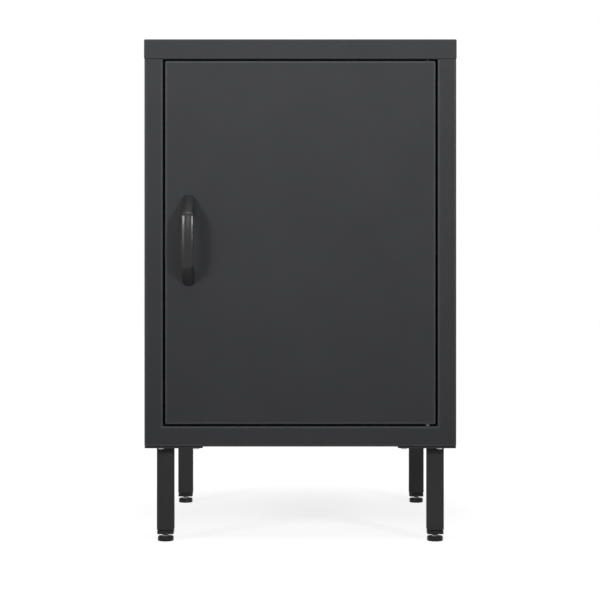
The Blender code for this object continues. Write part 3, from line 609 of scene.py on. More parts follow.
def put_out(tree, given, instances):
    """Ends a tree: its instances made real and given their finish."""
    real = add_node(tree, "GeometryNodeRealizeInstances", {"Geometry": instances})
    values = {"Geometry": real, "Material": given["Finish"]}
    done = add_node(tree, "GeometryNodeSetMaterial", values)
    tree.links.new(done, tree.nodes.new("NodeGroupOutput").inputs["Result"])
    return tree


def grown(host, tree, values):
    """Runs a tree on a host with inputs set by identifier; returns a plain mesh object."""
    work = host.modifiers.new(tree.name, "NODES")
    work.node_group = tree
    for item in tree.interface.items_tree:
        if item.in_out == "INPUT" and item.name in values:
            work[item.identifier] = values[item.name]
    return shade_by_angle(baked(host), weighted=False)


def weld_tree():
    """Scales set along the host's edges, each turned to the run and varied in size."""
    sizes = {"Pitch": BEAD_PITCH, "Width": BEAD_WIDTH, "Rise": BEAD_RISE}
    tree, given = new_tree("weld beads", sizes)
    path = add_node(tree, "GeometryNodeMeshToCurve", {"Mesh": given["Host"]})
    values = {"Curve": path, "Length": given["Pitch"]}
    spaced = add_node(tree, "GeometryNodeResampleCurve", values, mode="LENGTH")
    tangent = add_node(tree, "GeometryNodeInputTangent")
    along = add_node(tree, "FunctionNodeAlignRotationToVector", {"Vector": tangent}, axis="X")
    ball = add_node(tree, "GeometryNodeMeshIcoSphere", {"Radius": 0.5, "Subdivisions": 2})
    longer = maths(tree, "MULTIPLY", given["Pitch"], BEAD_OVERLAP)
    values = {"X": longer, "Y": given["Width"], "Z": given["Rise"]}
    size = add_node(tree, "ShaderNodeCombineXYZ", values)
    values = {2: BEAD_SMALLEST, 3: BEAD_LARGEST, "Seed": BEAD_SEED}
    vary = add_node(tree, "FunctionNodeRandomValue", values, 1, data_type="FLOAT")
    values = {"Vector": size, "Scale": vary}
    scaled = add_node(tree, "ShaderNodeVectorMath", values, operation="SCALE")
    values = {"Points": spaced, "Instance": ball, "Rotation": along, "Scale": scaled}
    return put_out(tree, given, add_node(tree, "GeometryNodeInstanceOnPoints", values))


weld_beads = weld_tree()


def bead_run(name, bm, finish, pitch, width, rise):
    """Beads along the edges of a mesh."""
    values = {"Pitch": pitch, "Width": width, "Rise": rise, "Finish": finish}
    return grown(object_of(name, bm), weld_beads, values)


bm = bmesh.new()
for _, _, low, high, middle in boxes_of("leg_tube"):
    outline = rounded_outline(high.x - low.x, high.y - low.y, LEG_CORNER)
    loop = [bm.verts.new(point) for point in level_ring(outline, high.z, middle)]
    for near, far in zip(loop, loop[1:] + loop[:1]):
        if (near.co - far.co).length > MERGE:
            bm.edges.new((near, far))
beads = bead_run("leg_weld_beads", bm, leg_coat, BEAD_PITCH, BEAD_WIDTH, BEAD_RISE)
on_body(beads, "carcass", "leg_coat")

# Upright welds: short runs that hold each slotted upright's edges to the side wall.
# Four runs to an edge, coated over with the body.
RUN_LENGTH = 0.012
RUN_SHARES = (0.06, 0.36, 0.66, 0.94)
RUN_PITCH = 0.0014
RUN_WIDTH = 0.0022
RUN_RISE = 0.0014
bm = bmesh.new()
for _, _, low, high, _ in boxes_of("shelf_upright", INNER_CORNERS):
    wall = low.x if low.x < 0 else high.x
    for y in (low.y, high.y):
        for share in RUN_SHARES:
            middle = low.z + (high.z - low.z) * share
            ends = [(wall, y, middle + end * RUN_LENGTH / 2) for end in (-1, 1)]
            bm.edges.new([bm.verts.new(end) for end in ends])
runs = bead_run("upright_weld_beads", bm, coat, RUN_PITCH, RUN_WIDTH, RUN_RISE)
on_body(runs, "carcass", "powder_coat")

# Lid seam sealer: a bead of paste gunned along the inside of the seam under the lid.
# It runs along both walls and the back, closes the seam to light, and is coated over.
SEALER_PITCH = 0.0024
SEALER_WIDTH = 0.0022
SEALER_RISE = 0.0014
SEALER_INSET = 0.0006
SEALER_END = 0.003
seam_x = SHELL_HALF - SHEET - SEALER_INSET
seam_rear = BACK - SHEET - SEALER_INSET
bm = bmesh.new()
for run in (
    ((-seam_x, FRONT + SEALER_END), (-seam_x, BACK - SEALER_END)),
    ((SEALER_END - SHELL_HALF, seam_rear), (SHELL_HALF - SEALER_END, seam_rear)),
    ((seam_x, BACK - SEALER_END), (seam_x, FRONT + SEALER_END)),
):
    bm.edges.new([bm.verts.new((x, y, (SHELL_TOP + TOP_SEAM) / 2)) for x, y in run])
sealer = bead_run("lid_seam_sealer", bm, coat, SEALER_PITCH, SEALER_WIDTH, SEALER_RISE)
on_body(sealer, "carcass", "powder_coat")

# Plate screws: zinc-plated pan heads with a cross recess, four to a plate.
# They are driven up through the plate into the shell's bottom from below.
PLATE_HEAD_RADIUS = 0.0034
PLATE_HEAD_HEIGHT = 0.0013
PLATE_SHANK = 0.0028
HEAD_SIDES = 32
HEAD_RINGS = 6
DOME_POWER = 2.5
DOME_FALL = 0.62
RECESS_LENGTH_SHARE = 1.05
RECESS_WIDTH_SHARE = 0.26
RECESS_DEPTH_SHARE = 0.9
RECESS_LIFT_SHARE = 0.4
SHANK_SIDES = 20
SCREW_SEED = 5


def planted(tree, given, part):
    """Stands a part on each of the host's points, along its axis, turned round it at random."""
    kind = "GeometryNodeInputNamedAttribute"
    way = add_node(tree, kind, {"Name": "axis"}, "Attribute", data_type="FLOAT_VECTOR")
    upright = add_node(tree, "FunctionNodeAlignRotationToVector", {"Vector": way}, axis="Z")
    values = {3: math.pi, "Seed": SCREW_SEED}
    chance = add_node(tree, "FunctionNodeRandomValue", values, 1, data_type="FLOAT")
    spin = add_node(tree, "ShaderNodeCombineXYZ", {"Z": chance})
    spin = add_node(tree, "FunctionNodeEulerToRotation", {"Euler": spin})
    values = {"Rotation": upright, "Rotate By": spin}
    turned = add_node(tree, "FunctionNodeRotateRotation", values, rotation_space="LOCAL")
    values = {"Points": given["Host"], "Instance": part, "Rotation": turned}
    return put_out(tree, given, add_node(tree, "GeometryNodeInstanceOnPoints", values))


def raised(tree, geometry, height, kind="GeometryNodeTransform", way="Translation"):
    """A geometry moved up by a height, as a whole or, by another kind of node, point by point."""
    shift = add_node(tree, "ShaderNodeCombineXYZ", {"Z": height})
    return add_node(tree, kind, {"Geometry": geometry, way: shift})


def rounded_disc(tree, radius, depth, sides, rings):
    """A disc, each point's squared share of its radius, and 1 for the points of its upper half."""
    values = {"Vertices": sides, "Side Segments": 1, "Fill Segments": rings}
    disc = add_node(tree, "GeometryNodeMeshCylinder", {**values, "Radius": radius, "Depth": depth})
    place = add_node(tree, "GeometryNodeInputPosition")
    parts = add_node(tree, "ShaderNodeSeparateXYZ", {"Vector": place}).node.outputs
    squares = [maths(tree, "POWER", parts[way], 2.0) for way in ("X", "Y")]
    total = maths(tree, "ADD", *squares)
    outwards = maths(tree, "DIVIDE", total, maths(tree, "POWER", radius, 2.0))
    return disc, outwards, maths(tree, "GREATER_THAN", parts["Z"], 0.0)


def screw_tree():
    """Pan-head screws on the host's points, each along its point's axis, turned at random."""
    sizes = {
        "Head radius": PLATE_HEAD_RADIUS,
        "Head height": PLATE_HEAD_HEIGHT,
        "Shank radius": PLATE_SCREW_RADIUS,
        "Shank length": PLATE_SHANK,
    }
    tree, given = new_tree("pan-head screws", sizes)
    radius, height, shank_radius, shank_length = (given[name] for name in sizes)
    head, outwards, above = rounded_disc(tree, radius, height, HEAD_SIDES, HEAD_RINGS)
    fall = maths(tree, "MULTIPLY", maths(tree, "POWER", outwards, DOME_POWER), -DOME_FALL)
    dome = maths(tree, "MULTIPLY", maths(tree, "MULTIPLY", fall, height), above)
    lift = maths(tree, "ADD", dome, maths(tree, "MULTIPLY", height, 0.5))
    domed = raised(tree, head, lift, "GeometryNodeSetPosition", "Offset")
    bars = []
    shares = (RECESS_LENGTH_SHARE, RECESS_WIDTH_SHARE)
    for along, across in (shares, shares[::-1]):
        values = {
            "X": maths(tree, "MULTIPLY", radius, along),
            "Y": maths(tree, "MULTIPLY", radius, across),
            "Z": maths(tree, "MULTIPLY", height, 2 * RECESS_DEPTH_SHARE),
        }
        size = add_node(tree, "ShaderNodeCombineXYZ", values)
        cube = add_node(tree, "GeometryNodeMeshCube", {"Size": size})
        lift_share = 1.0 + RECESS_DEPTH_SHARE * RECESS_LIFT_SHARE
        bars.append(raised(tree, cube, maths(tree, "MULTIPLY", height, lift_share)))
    values = {"Mesh 1": domed, "Mesh 2": bars}
    cut = add_node(tree, "GeometryNodeMeshBoolean", values, operation="DIFFERENCE")
    values = {"Vertices": SHANK_SIDES, "Radius": shank_radius, "Depth": shank_length}
    shank = add_node(tree, "GeometryNodeMeshCylinder", values)
    sunk = raised(tree, shank, maths(tree, "MULTIPLY", shank_length, -0.5))
    both = add_node(tree, "GeometryNodeJoinGeometry", {"Geometry": [cut, sunk]})
    return planted(tree, given, both)


def spots_host(name, spots):
    """A host of loose points, each a place and the axis that points out of its surface."""
    bm = bmesh.new()
    axis = bm.verts.layers.float_vector.new("axis")
    for place, direction in spots:
        bm.verts.new(place)[axis] = direction
    return object_of(name, bm)


pan_head_screws = screw_tree()


def screws_on(name, spots, sizes, body, *nodes):
    """Screws on spots, by their head's radius and height and their shank's radius and length."""
    keys = ("Head radius", "Head height", "Shank radius", "Shank length")
    values = {**dict(zip(keys, sizes)), "Finish": zinc}
    return on_body(grown(spots_host(name, spots), pan_head_screws, values), body, "zinc", *nodes)


head_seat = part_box("leg_plate_front_left")[0].z - SEAM_GAP
spots = [((x, y, head_seat), (0, 0, -1)) for x, y in plate_screw_spots]
sizes = (PLATE_HEAD_RADIUS, PLATE_HEAD_HEIGHT, PLATE_SCREW_RADIUS, PLATE_SHANK)
leg_screw_nodes = [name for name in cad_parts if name.startswith("leg_screw_")]
screws_on("plate_screws", spots, sizes, "carcass", *leg_screw_nodes)

# End plugs: black moulded plastic, pressed into the tubes, with a collar that shows below.
# A threaded bore in each takes the levelling foot's stem.
PLUG_BLACK = (0.0105, 0.0105, 0.0110)
PLUG_WORN = (0.0170, 0.0170, 0.0175)
PLUG_ROUGHNESS = 0.42
PLASTIC_SPECULAR = 0.2
PLASTIC_FLOW = (90.0, 3.0)
PLASTIC_GLOSS = (350.0, 3.0)
PLASTIC_GLOSS_RANGE = 0.06
PLASTIC_GRAIN = (3200.0, 2.0, 0.4, 0.00003)
PLUG_EDGE = 0.0006
PLUG_GROOVE = 0.0011
PLUG_GROOVE_DEPTH = 0.0018
STEM_RADIUS = 0.0034


def moulded_plastic(name, colour, worn, roughness):
    """Moulded plastic: spark-eroded grain, faint flow marks and scuffed high spots."""
    gloss = (*PLASTIC_GLOSS, roughness - PLASTIC_GLOSS_RANGE, roughness + PLASTIC_GLOSS_RANGE)
    bumps = (PLASTIC_GRAIN,)
    return uneven_finish(name, (colour, worn), PLASTIC_FLOW, gloss, bumps, PLASTIC_SPECULAR)


black_plastic = moulded_plastic("black moulded plastic", PLUG_BLACK, PLUG_WORN, PLUG_ROUGHNESS)
socket_radius = STEM_RADIUS + SEAM_GAP
for corner, node, low, high, middle in boxes_of("leg_end_cap"):
    tube_low, tube_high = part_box(f"leg_tube_{corner}")
    collar_top = tube_low.z - SEAM_GAP
    groove_foot = collar_top - PLUG_GROOVE
    collar = rounded_outline(high.x - low.x, high.y - low.y, LEG_CORNER)
    inside = tube_high.x - tube_low.x - 2 * (LEG_WALL + SEAM_GAP)
    plug = rounded_outline(inside, inside, LEG_CORNER / 2)
    groove_width = high.x - low.x - 2 * PLUG_GROOVE_DEPTH
    groove = rounded_outline(groove_width, groove_width, LEG_CORNER - PLUG_GROOVE_DEPTH)
    hole = []
    for u, v in collar:
        angle = math.atan2(v, u)
        hole.append((socket_radius * math.cos(angle), socket_radius * math.sin(angle)))
    steps = ((hole, low.z), (collar, low.z), (collar, groove_foot), (groove, groove_foot))
    steps += ((groove, collar_top), (plug, collar_top), (plug, high.z), (hole, high.z))
    rings = [level_ring(outline, z, middle) for outline, z in steps]
    cap = ring_solid(f"end_plug_{corner}", rings, black_plastic, through=True, edge=PLUG_EDGE)
    on_body(cap, "carcass", "black_plastic", node)

# Foot stems: zinc-plated threaded rods, 1.25 mm pitch, screwed up into the plugs.
# The thread is a round ridge wound on the core by its pitch, right-handed.
STEM_PITCH = 0.00125
STEM_LENGTH = 0.045
THREAD_DEPTH_SHARE = 0.55
THREAD_STEPS = 24
THREAD_SIDES = 6
CORE_SIDES = 32
CORE_INTO_RIDGE = 0.2


def thread_tree():
    """A core with a ridge wound round it, on each of the host's points."""
    sizes = {"Radius": STEM_RADIUS, "Length": STEM_LENGTH, "Pitch": STEM_PITCH}
    tree, given = new_tree("threaded stem", sizes)
    radius, length, pitch = (given[name] for name in sizes)
    ridge = maths(tree, "MULTIPLY", pitch, THREAD_DEPTH_SHARE)
    root = maths(tree, "SUBTRACT", radius, ridge)
    threaded = maths(tree, "SUBTRACT", length, maths(tree, "MULTIPLY", ridge, 2.0))
    turns = maths(tree, "DIVIDE", threaded, pitch)
    values = {
        "Resolution": THREAD_STEPS,
        "Rotations": turns,
        "Start Radius": root,
        "End Radius": root,
        "Height": maths(tree, "MULTIPLY", turns, pitch),
    }
    coil = add_node(tree, "GeometryNodeCurveSpiral", values)
    values = {"Resolution": THREAD_SIDES, "Radius": ridge}
    profile = add_node(tree, "GeometryNodeCurvePrimitiveCircle", values)
    values = {"Curve": coil, "Profile Curve": profile, "Fill Caps": True}
    wound = add_node(tree, "GeometryNodeCurveToMesh", values)
    core_radius = maths(tree, "ADD", root, maths(tree, "MULTIPLY", ridge, CORE_INTO_RIDGE))
    values = {"Vertices": CORE_SIDES, "Radius": core_radius, "Depth": length}
    core = add_node(tree, "GeometryNodeMeshCylinder", values)
    parts = [raised(tree, core, maths(tree, "MULTIPLY", length, 0.5)), raised(tree, wound, ridge)]
    return planted(tree, given, add_node(tree, "GeometryNodeJoinGeometry", {"Geometry": parts}))


threads = thread_tree()
for corner, node, low, high, middle in boxes_of("foot_stem"):
    host = spots_host(f"threaded_stem_{corner}", [((middle.x, middle.y, low.z), (0, 0, 1))])
    stem = grown(host, threads, {"Length": high.z - low.z, "Finish": zinc})
    on_body(stem, f"foot_{corner}", "zinc", node)

# Glides: round black plastic pads moulded on the stems' lower ends.
# Their rim is rounded and a short boss stands round the stem.
PAD_ROUNDING = 0.0016
PAD_TREAD_ROUNDING = 0.0012
PAD_SPRUE = 0.0004
PAD_SOCKET = 0.003
PAD_SIDES = 64
ROUNDING_STEPS = 6


def level_circle(radius, z, centre):
    """A level ring of points round a centre."""
    angles = [i * 2 * math.pi / PAD_SIDES for i in range(PAD_SIDES)]
    return level_ring([(radius * math.cos(a), radius * math.sin(a)) for a in angles], z, centre)


def turned(name, profile, centre, finish, through=False):
    """A turned piece on an upright axis, from its profile's radius and height pairs."""
    return ring_solid(name, [level_circle(r, z, centre) for r, z in profile], finish, through)


def quarter_round(radius, z, rounding, first, last):
    """Radius and height pairs round a rim's corner, between two angles in quarters."""
    pairs = []
    for i in range(ROUNDING_STEPS + 1):
        angle = (first + (last - first) * i / ROUNDING_STEPS) * math.pi / 2
        out = radius - rounding + rounding * math.cos(angle)
        pairs.append((out, z + rounding * math.sin(angle)))
    return pairs


for corner, node, low, high, middle in boxes_of("foot_pad"):
    radius = (high.x - low.x) / 2
    profile = [(PAD_SPRUE, low.z)]
    profile += quarter_round(radius, low.z + PAD_TREAD_ROUNDING, PAD_TREAD_ROUNDING, -1, 0)
    profile += quarter_round(radius, high.z - PAD_ROUNDING, PAD_ROUNDING, 0, 1)
    profile += [(socket_radius, high.z), (socket_radius, high.z - PAD_SOCKET)]
    pad = turned(f"glide_{corner}", profile, middle, black_plastic)
    on_body(pad, f"pad_{corner}", "black_plastic", node)

# Pivot pins: turned zinc-plated pins, riveted into the lid's return and the rail's ledge.
# They stand 10 mm into the door's edge, near its right end, and carry it. The upper one is
# darkened almost black, painted shade for the shadow under the lid; the lower one is a duller,
# darker zinc.
# The upper pin's near-black zinc is painted shade for the shadow under the lid.
SHADED_PIN_ZINC = (0.022, 0.022, 0.024)
SHADED_PIN_ZINC_BLOOM = (0.030, 0.030, 0.031)
SHADED_PIN_ZINC_GLOSS = (500.0, 4.0, 0.45, 0.60)
DULL_ZINC = (0.13, 0.13, 0.135)
DULL_ZINC_BLOOM = (0.17, 0.17, 0.17)
DULL_ZINC_GLOSS = (500.0, 4.0, 0.40, 0.55)
PIN_HEAD = 0.002
PIN_COLLAR = 0.0029
PIN_EDGE = 0.0003
shade_darkened_zinc = zinc_plate("zinc darkened as painted shade", SHADED_PIN_ZINC, SHADED_PIN_ZINC_BLOOM, SHADED_PIN_ZINC_GLOSS)
dull_zinc = zinc_plate("dull zinc plate", DULL_ZINC, DULL_ZINC_BLOOM, DULL_ZINC_GLOSS)
door_low, door_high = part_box("door_panel")
for name, node, way, finish in (
    ("upper_pin", "top_pivot_pin", 1, shade_darkened_zinc),
    ("lower_pin", "bottom_pivot_pin", -1, dull_zinc),
):
    low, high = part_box(node)
    head_radius = (high.x - low.x) / 2
    tip, head_end = (low.z, high.z) if way > 0 else (high.z, low.z)
    profile = [(PIVOT_RADIUS - PIN_EDGE, tip), (PIVOT_RADIUS, tip + way * PIN_EDGE)]
    if way < 0:
        collar_top, collar_foot = door_low.z - SEAM_GAP, RAIL_TOP + SEAM_GAP
        profile += [(PIVOT_RADIUS, collar_top), (PIN_COLLAR, collar_top)]
        profile += [(PIN_COLLAR, collar_foot), (PIVOT_RADIUS, collar_foot)]
    profile += [
        (PIVOT_RADIUS, head_end - way * PIN_HEAD),
        (head_radius, head_end - way * PIN_HEAD),
        (head_radius, head_end - way * PIN_EDGE),
        (head_radius - PIN_EDGE, head_end),
    ]
    pin = turned(name, profile, (PIVOT_X, PIVOT_Y), finish)
    on_body(pin, "carcass", "zinc", node)

# Door: an inset pan of coated sheet, 15 mm deep, with its edges folded back and a return.
# The right edge is pierced top and bottom for the bushes, the skin twice for the handle.
DOOR_RETURN = 0.012
BUSH_NECK_RADIUS = 0.0036
HANDLE_SCREW_RADIUS = 0.0018
rings = [
    upright_rectangle(door_low, door_high, door_low.y),
    upright_rectangle(door_low, door_high, door_high.y),
    upright_rectangle(door_low, door_high, door_high.y, DOOR_RETURN),
]
door_bores = []
for z in (door_low.z, door_high.z):
    door_bores.append(((PIVOT_X, PIVOT_Y, z), (0, 0, 1), BUSH_NECK_RADIUS))
handle_screw_spots = []
for node in ("handle_screw_upper", "handle_screw_lower"):
    low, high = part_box(node)
    handle_screw_spots.append((low + high) / 2)
for spot in handle_screw_spots:
    door_bores.append(((spot.x, door_low.y, spot.z), (0, 1, 0), HANDLE_SCREW_RADIUS))
folded_pan("door_pan", rings, (0, -1, 0), "door", "door_panel", door_bores)

# Door channel: a hat-shaped stiffener spot-welded to the back of the door's skin.
# It runs nearly the door's full height and keeps the thin sheet from drumming.
CHANNEL_BRIM = 0.014
channel_low, channel_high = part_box("door_stiffener")
brim_y = channel_low.y + SHEET
crown_left, crown_right = channel_low.x + CHANNEL_BRIM, channel_high.x - CHANNEL_BRIM
channel_line = [
    (channel_low.x, brim_y),
    (crown_left, brim_y),
    (crown_left, channel_high.y),
    (crown_right, channel_high.y),
    (crown_right, brim_y),
    (channel_high.x, brim_y),
]
edges = [[(x, y, z) for x, y in channel_line] for z in (channel_low.z, channel_high.z)]
channel = folded_sheet("door_channel", walls_between(edges, closed=False), (0, 1, 0), coat)
on_body(channel, "door", "powder_coat", "door_stiffener")

# Spot welds: shallow dished marks where two sheets are pressed and fused, coated over.
# They join the shell's rear flanges to the back panel, and the channel to the door's skin.
SPOT_RADIUS = 0.0026
SPOT_RISE = 0.0002
SPOT_ROOT = 0.0003
SPOT_SIDES = 20
SPOT_RINGS = 5
SPOT_RIM_FALL = 0.9
SPOT_DIP = 0.6
FLANGE_SPOTS = 6
SILL_SPOTS = 4
CHANNEL_SPOTS = 7
SPOT_END = 0.030


def spot_tree():
    """Dished discs on the host's points: low at the rim, high in a ring, dipped in the middle."""
    sizes = {"Radius": SPOT_RADIUS, "Rise": SPOT_RISE, "Root": SPOT_ROOT}
    tree, given = new_tree("spot welds", sizes)
    radius, rise, root = (given[name] for name in sizes)
    depth = maths(tree, "ADD", rise, root)
    disc, outwards, above = rounded_disc(tree, radius, depth, SPOT_SIDES, SPOT_RINGS)
    inwards = maths(tree, "SUBTRACT", 1.0, outwards)
    rim = maths(tree, "MULTIPLY", maths(tree, "POWER", outwards, 2.0), -SPOT_RIM_FALL)
    dip = maths(tree, "MULTIPLY", maths(tree, "POWER", inwards, 2.0), -SPOT_DIP)
    sunk = maths(tree, "MULTIPLY", maths(tree, "ADD", rim, dip), rise)
    centred = maths(tree, "MULTIPLY", maths(tree, "SUBTRACT", rise, root), 0.5)
    lift = maths(tree, "ADD", maths(tree, "MULTIPLY", sunk, above), centred)
    return planted(tree, given, raised(tree, disc, lift, "GeometryNodeSetPosition", "Offset"))


def evenly(first, last, count):
    return [first + (last - first) * i / (count - 1) for i in range(count)]


spot_welds = spot_tree()
flange_middle = SHELL_HALF - REAR_FLANGE / 2
flange_spots = []
for z in evenly(UNDERSIDE + SPOT_END, SHELL_TOP - SPOT_END, FLANGE_SPOTS):
    flange_spots += [((side * flange_middle, BACK, z), (0, 1, 0)) for side in (-1, 1)]
for x in evenly(-flange_middle + SPOT_END, flange_middle - SPOT_END, SILL_SPOTS):
    flange_spots.append(((x, BACK, UNDERSIDE + REAR_FLANGE / 2), (0, 1, 0)))
channel_spots = []
for z in evenly(channel_low.z + SPOT_END, channel_high.z - SPOT_END, CHANNEL_SPOTS):
    for x in (channel_low.x + CHANNEL_BRIM / 2, channel_high.x - CHANNEL_BRIM / 2):
        channel_spots.append(((x, brim_y, z), (0, 1, 0)))
for name, spots, body in (
    ("flange_spot_welds", flange_spots, "carcass"),
    ("channel_spot_welds", channel_spots, "door"),
):
    marks = grown(spots_host(name, spots), spot_welds, {"Finish": coat})
    on_body(marks, body, "powder_coat")

# Bushes: natural nylon, pressed into the door's edges, in which the pins run.
# Each has a flange inside the edge and a short neck through the hole.
NYLON = (0.58, 0.565, 0.52)
NYLON_WORN = (0.50, 0.485, 0.44)
NYLON_ROUGHNESS = 0.46
BUSH_COLLAR = 0.002
PIVOT_CLEARANCE = 0.00015
nylon = moulded_plastic("natural nylon", NYLON, NYLON_WORN, NYLON_ROUGHNESS)
for name, node, way in (
    ("upper_bush", "door_bush_top", -1),
    ("lower_bush", "door_bush_bottom", 1),
):
    low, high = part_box(node)
    edge, end = (low.z, high.z) if way > 0 else (high.z, low.z)
    collar_radius = (high.x - low.x) / 2
    collar = edge + way * (SHEET + SEAM_GAP)
    inner = PIVOT_RADIUS + PIVOT_CLEARANCE
    profile = [
        (inner, edge),
        (BUSH_NECK_RADIUS, edge),
        (BUSH_NECK_RADIUS, collar),
        (collar_radius, collar),
        (collar_radius, collar + way * BUSH_COLLAR),
        (BUSH_NECK_RADIUS, collar + way * BUSH_COLLAR),
        (BUSH_NECK_RADIUS, end),
        (inner, end),
    ]
    bush = turned(name, profile, (PIVOT_X, PIVOT_Y), nylon, through=True)
    on_body(bush, "door", "nylon", node)

# Handle: a die-cast bow with a gently bowed face, round shoulders and slanted legs.
# It is painted satin and held by two screws from inside the door.
HANDLE_GREY = (0.0240, 0.0245, 0.0258)
HANDLE_CLOUD = (0.0270, 0.0275, 0.0288)
PAINT_SPECULAR = 0.28
PAINT_CLOUDS = (60.0, 3.0)
PAINT_GLOSS = (240.0, 3.0, 0.20, 0.24)
PAINT_RIPPLE = (300.0, 1.0, 0.03, 0.0001)
PAINT_GRAIN = (2400.0, 2.0, 0.12, 0.00001)
HANDLE_END_WIDTH = 0.0098
HANDLE_THICKNESS = 0.0062
HANDLE_FOOT = 0.013
HANDLE_CROWN = 0.016
HANDLE_CROWN_POINTS = 15
HANDLE_EDGE_RADIUS = 0.001
HANDLE_BACK_RADIUS = 0.002
HANDLE_FOOT_RADIUS = 0.004
HANDLE_SHOULDER_RADIUS = 0.008
HANDLE_FACE_TILT = math.radians(9)
HANDLE_LEG_TILT = math.radians(48)
HANDLE_FACE_STEPS = 12
HANDLE_SHOULDER_STEPS = 16
HANDLE_LEG_STEPS = 16
HANDLE_TAPER_STEPS = 24
HANDLE_TAPER_SHARE = 0.75

handle_paint = uneven_finish(
    "satin anthracite paint",
    (HANDLE_GREY, HANDLE_CLOUD),
    PAINT_CLOUDS,
    PAINT_GLOSS,
    (PAINT_RIPPLE, PAINT_GRAIN),
    PAINT_SPECULAR,
)
handle_low, handle_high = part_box("handle")
handle_x = (handle_low.x + handle_high.x) / 2
handle_z = (handle_low.z + handle_high.z) / 2
half_length = (handle_high.z - handle_low.z) / 2
handle_width = handle_high.x - handle_low.x
handle_rise = handle_high.y - handle_low.y


def handle_stations():
    """Half the side view: outer and inner points, along the door and out from it, to the foot."""
    tilt, lean, shoulder = HANDLE_FACE_TILT, HANDLE_LEG_TILT, HANDLE_SHOULDER_RADIUS
    shoulder_along = shoulder * (math.sin(lean) - math.sin(tilt))
    shoulder_drop = shoulder * (math.cos(tilt) - math.cos(lean))
    leg_along = (handle_rise - shoulder_drop) / math.tan(lean)
    half_face = half_length - shoulder_along - leg_along
    half_face /= 1 - math.tan(tilt / 2) / math.tan(lean)
    face = half_face / math.sin(tilt)
    face_centre = Vector((0, handle_rise - face))
    centre = face_centre + (face - shoulder) * Vector((math.sin(tilt), math.cos(tilt)))
    steps, turns = HANDLE_FACE_STEPS, HANDLE_SHOULDER_STEPS
    bends = [(face, face_centre, tilt * i / steps) for i in range(steps)]
    bends += [(shoulder, centre, tilt + (lean - tilt) * i / turns) for i in range(turns + 1)]
    stations = []
    for radius, middle, angle in bends:
        out = Vector((math.sin(angle), math.cos(angle)))
        outer = middle + radius * out
        stations.append((outer, outer - HANDLE_THICKNESS * out, 0.0))
    outer, inner, _ = stations[-1]
    toe, heel = Vector((half_length, 0)), Vector((half_length - HANDLE_FOOT, 0))
    shares = [HANDLE_TAPER_SHARE * i / HANDLE_LEG_STEPS for i in range(1, HANDLE_LEG_STEPS)]
    for i in range(HANDLE_TAPER_STEPS + 1):
        shares.append(1 - (1 - HANDLE_TAPER_SHARE) * (1 - i / HANDLE_TAPER_STEPS) ** 2)
    for share in shares:
        near_foot = max(share - HANDLE_TAPER_SHARE, 0) / (1 - HANDLE_TAPER_SHARE)
        foot = 1 - math.sqrt(1 - near_foot ** 2)
        stations.append((outer.lerp(toe, share), inner.lerp(heel, share), foot))
    return stations


def arc(u, v, radius, start, end, points=CORNER_POINTS):
    """Points round an arc, both ends included."""
    angles = [start + (end - start) * i / (points - 1) for i in range(points)]
    return [(u + radius * math.cos(angle), v + radius * math.sin(angle)) for angle in angles]


def crowned_outline(width, height, edge, back):
    """A cross-section with a crowned face and rounded edges, its face towards +v."""
    half = width / 2
    base = height / 2 - HANDLE_CROWN
    edge_u = half - edge
    edge_v = base + math.sqrt((HANDLE_CROWN - edge) ** 2 - edge_u ** 2)
    lean = math.asin(edge_u / (HANDLE_CROWN - edge))
    quarter = math.pi / 2
    outline = arc(edge_u, edge_v, edge, 0, quarter - lean)
    crown = arc(0, base, HANDLE_CROWN, quarter - lean, quarter + lean, HANDLE_CROWN_POINTS)
    outline += crown[1:-1]
    outline += arc(-edge_u, edge_v, edge, quarter + lean, 2 * quarter)
    outline += arc(back - half, back - height / 2, back, 2 * quarter, 3 * quarter)
    outline += arc(half - back, back - height / 2, back, 3 * quarter, 4 * quarter)
    return outline


def towards_foot(size, foot_size, foot):
    return size + (foot_size - size) * foot


half_bow = handle_stations()
bow_rings = []
for way, stations in ((1, reversed(half_bow)), (-1, half_bow[1:])):
    for outer, inner, foot in stations:
        thick = (outer - inner).length
        along, out = (outer + inner) / 2
        along_way, out_way = (outer - inner) / thick
        width = towards_foot(handle_width, HANDLE_END_WIDTH, foot)
        edge = towards_foot(HANDLE_EDGE_RADIUS, HANDLE_FOOT_RADIUS, foot)
        back = towards_foot(HANDLE_BACK_RADIUS, HANDLE_FOOT_RADIUS, foot)
        ring = []
        for u, v in crowned_outline(width, thick, edge, back):
            y = handle_high.y - out - v * out_way
            ring.append((handle_x + u, y, handle_z + way * (along + v * along_way)))
        bow_rings.append(ring)
bow = ring_solid("bow_handle", bow_rings, handle_paint)
on_body(bow, "door", "handle_paint", "handle")

# Handle screws: two pan heads from inside the door, the same kind as under the legs.
# Their heads sit on the inner face of the door's skin.
HANDLE_HEAD_RADIUS = 0.0038
HANDLE_HEAD_HEIGHT = 0.0024
HANDLE_SHANK = 0.0066
screw_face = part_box("handle_screw_upper")[1].y - HANDLE_HEAD_HEIGHT
spots = [((spot.x, screw_face, spot.z), (0, 1, 0)) for spot in handle_screw_spots]
sizes = (HANDLE_HEAD_RADIUS, HANDLE_HEAD_HEIGHT, HANDLE_SCREW_RADIUS, HANDLE_SHANK)
screws_on("handle_screws", spots, sizes, "door", "handle_screw_upper", "handle_screw_lower")

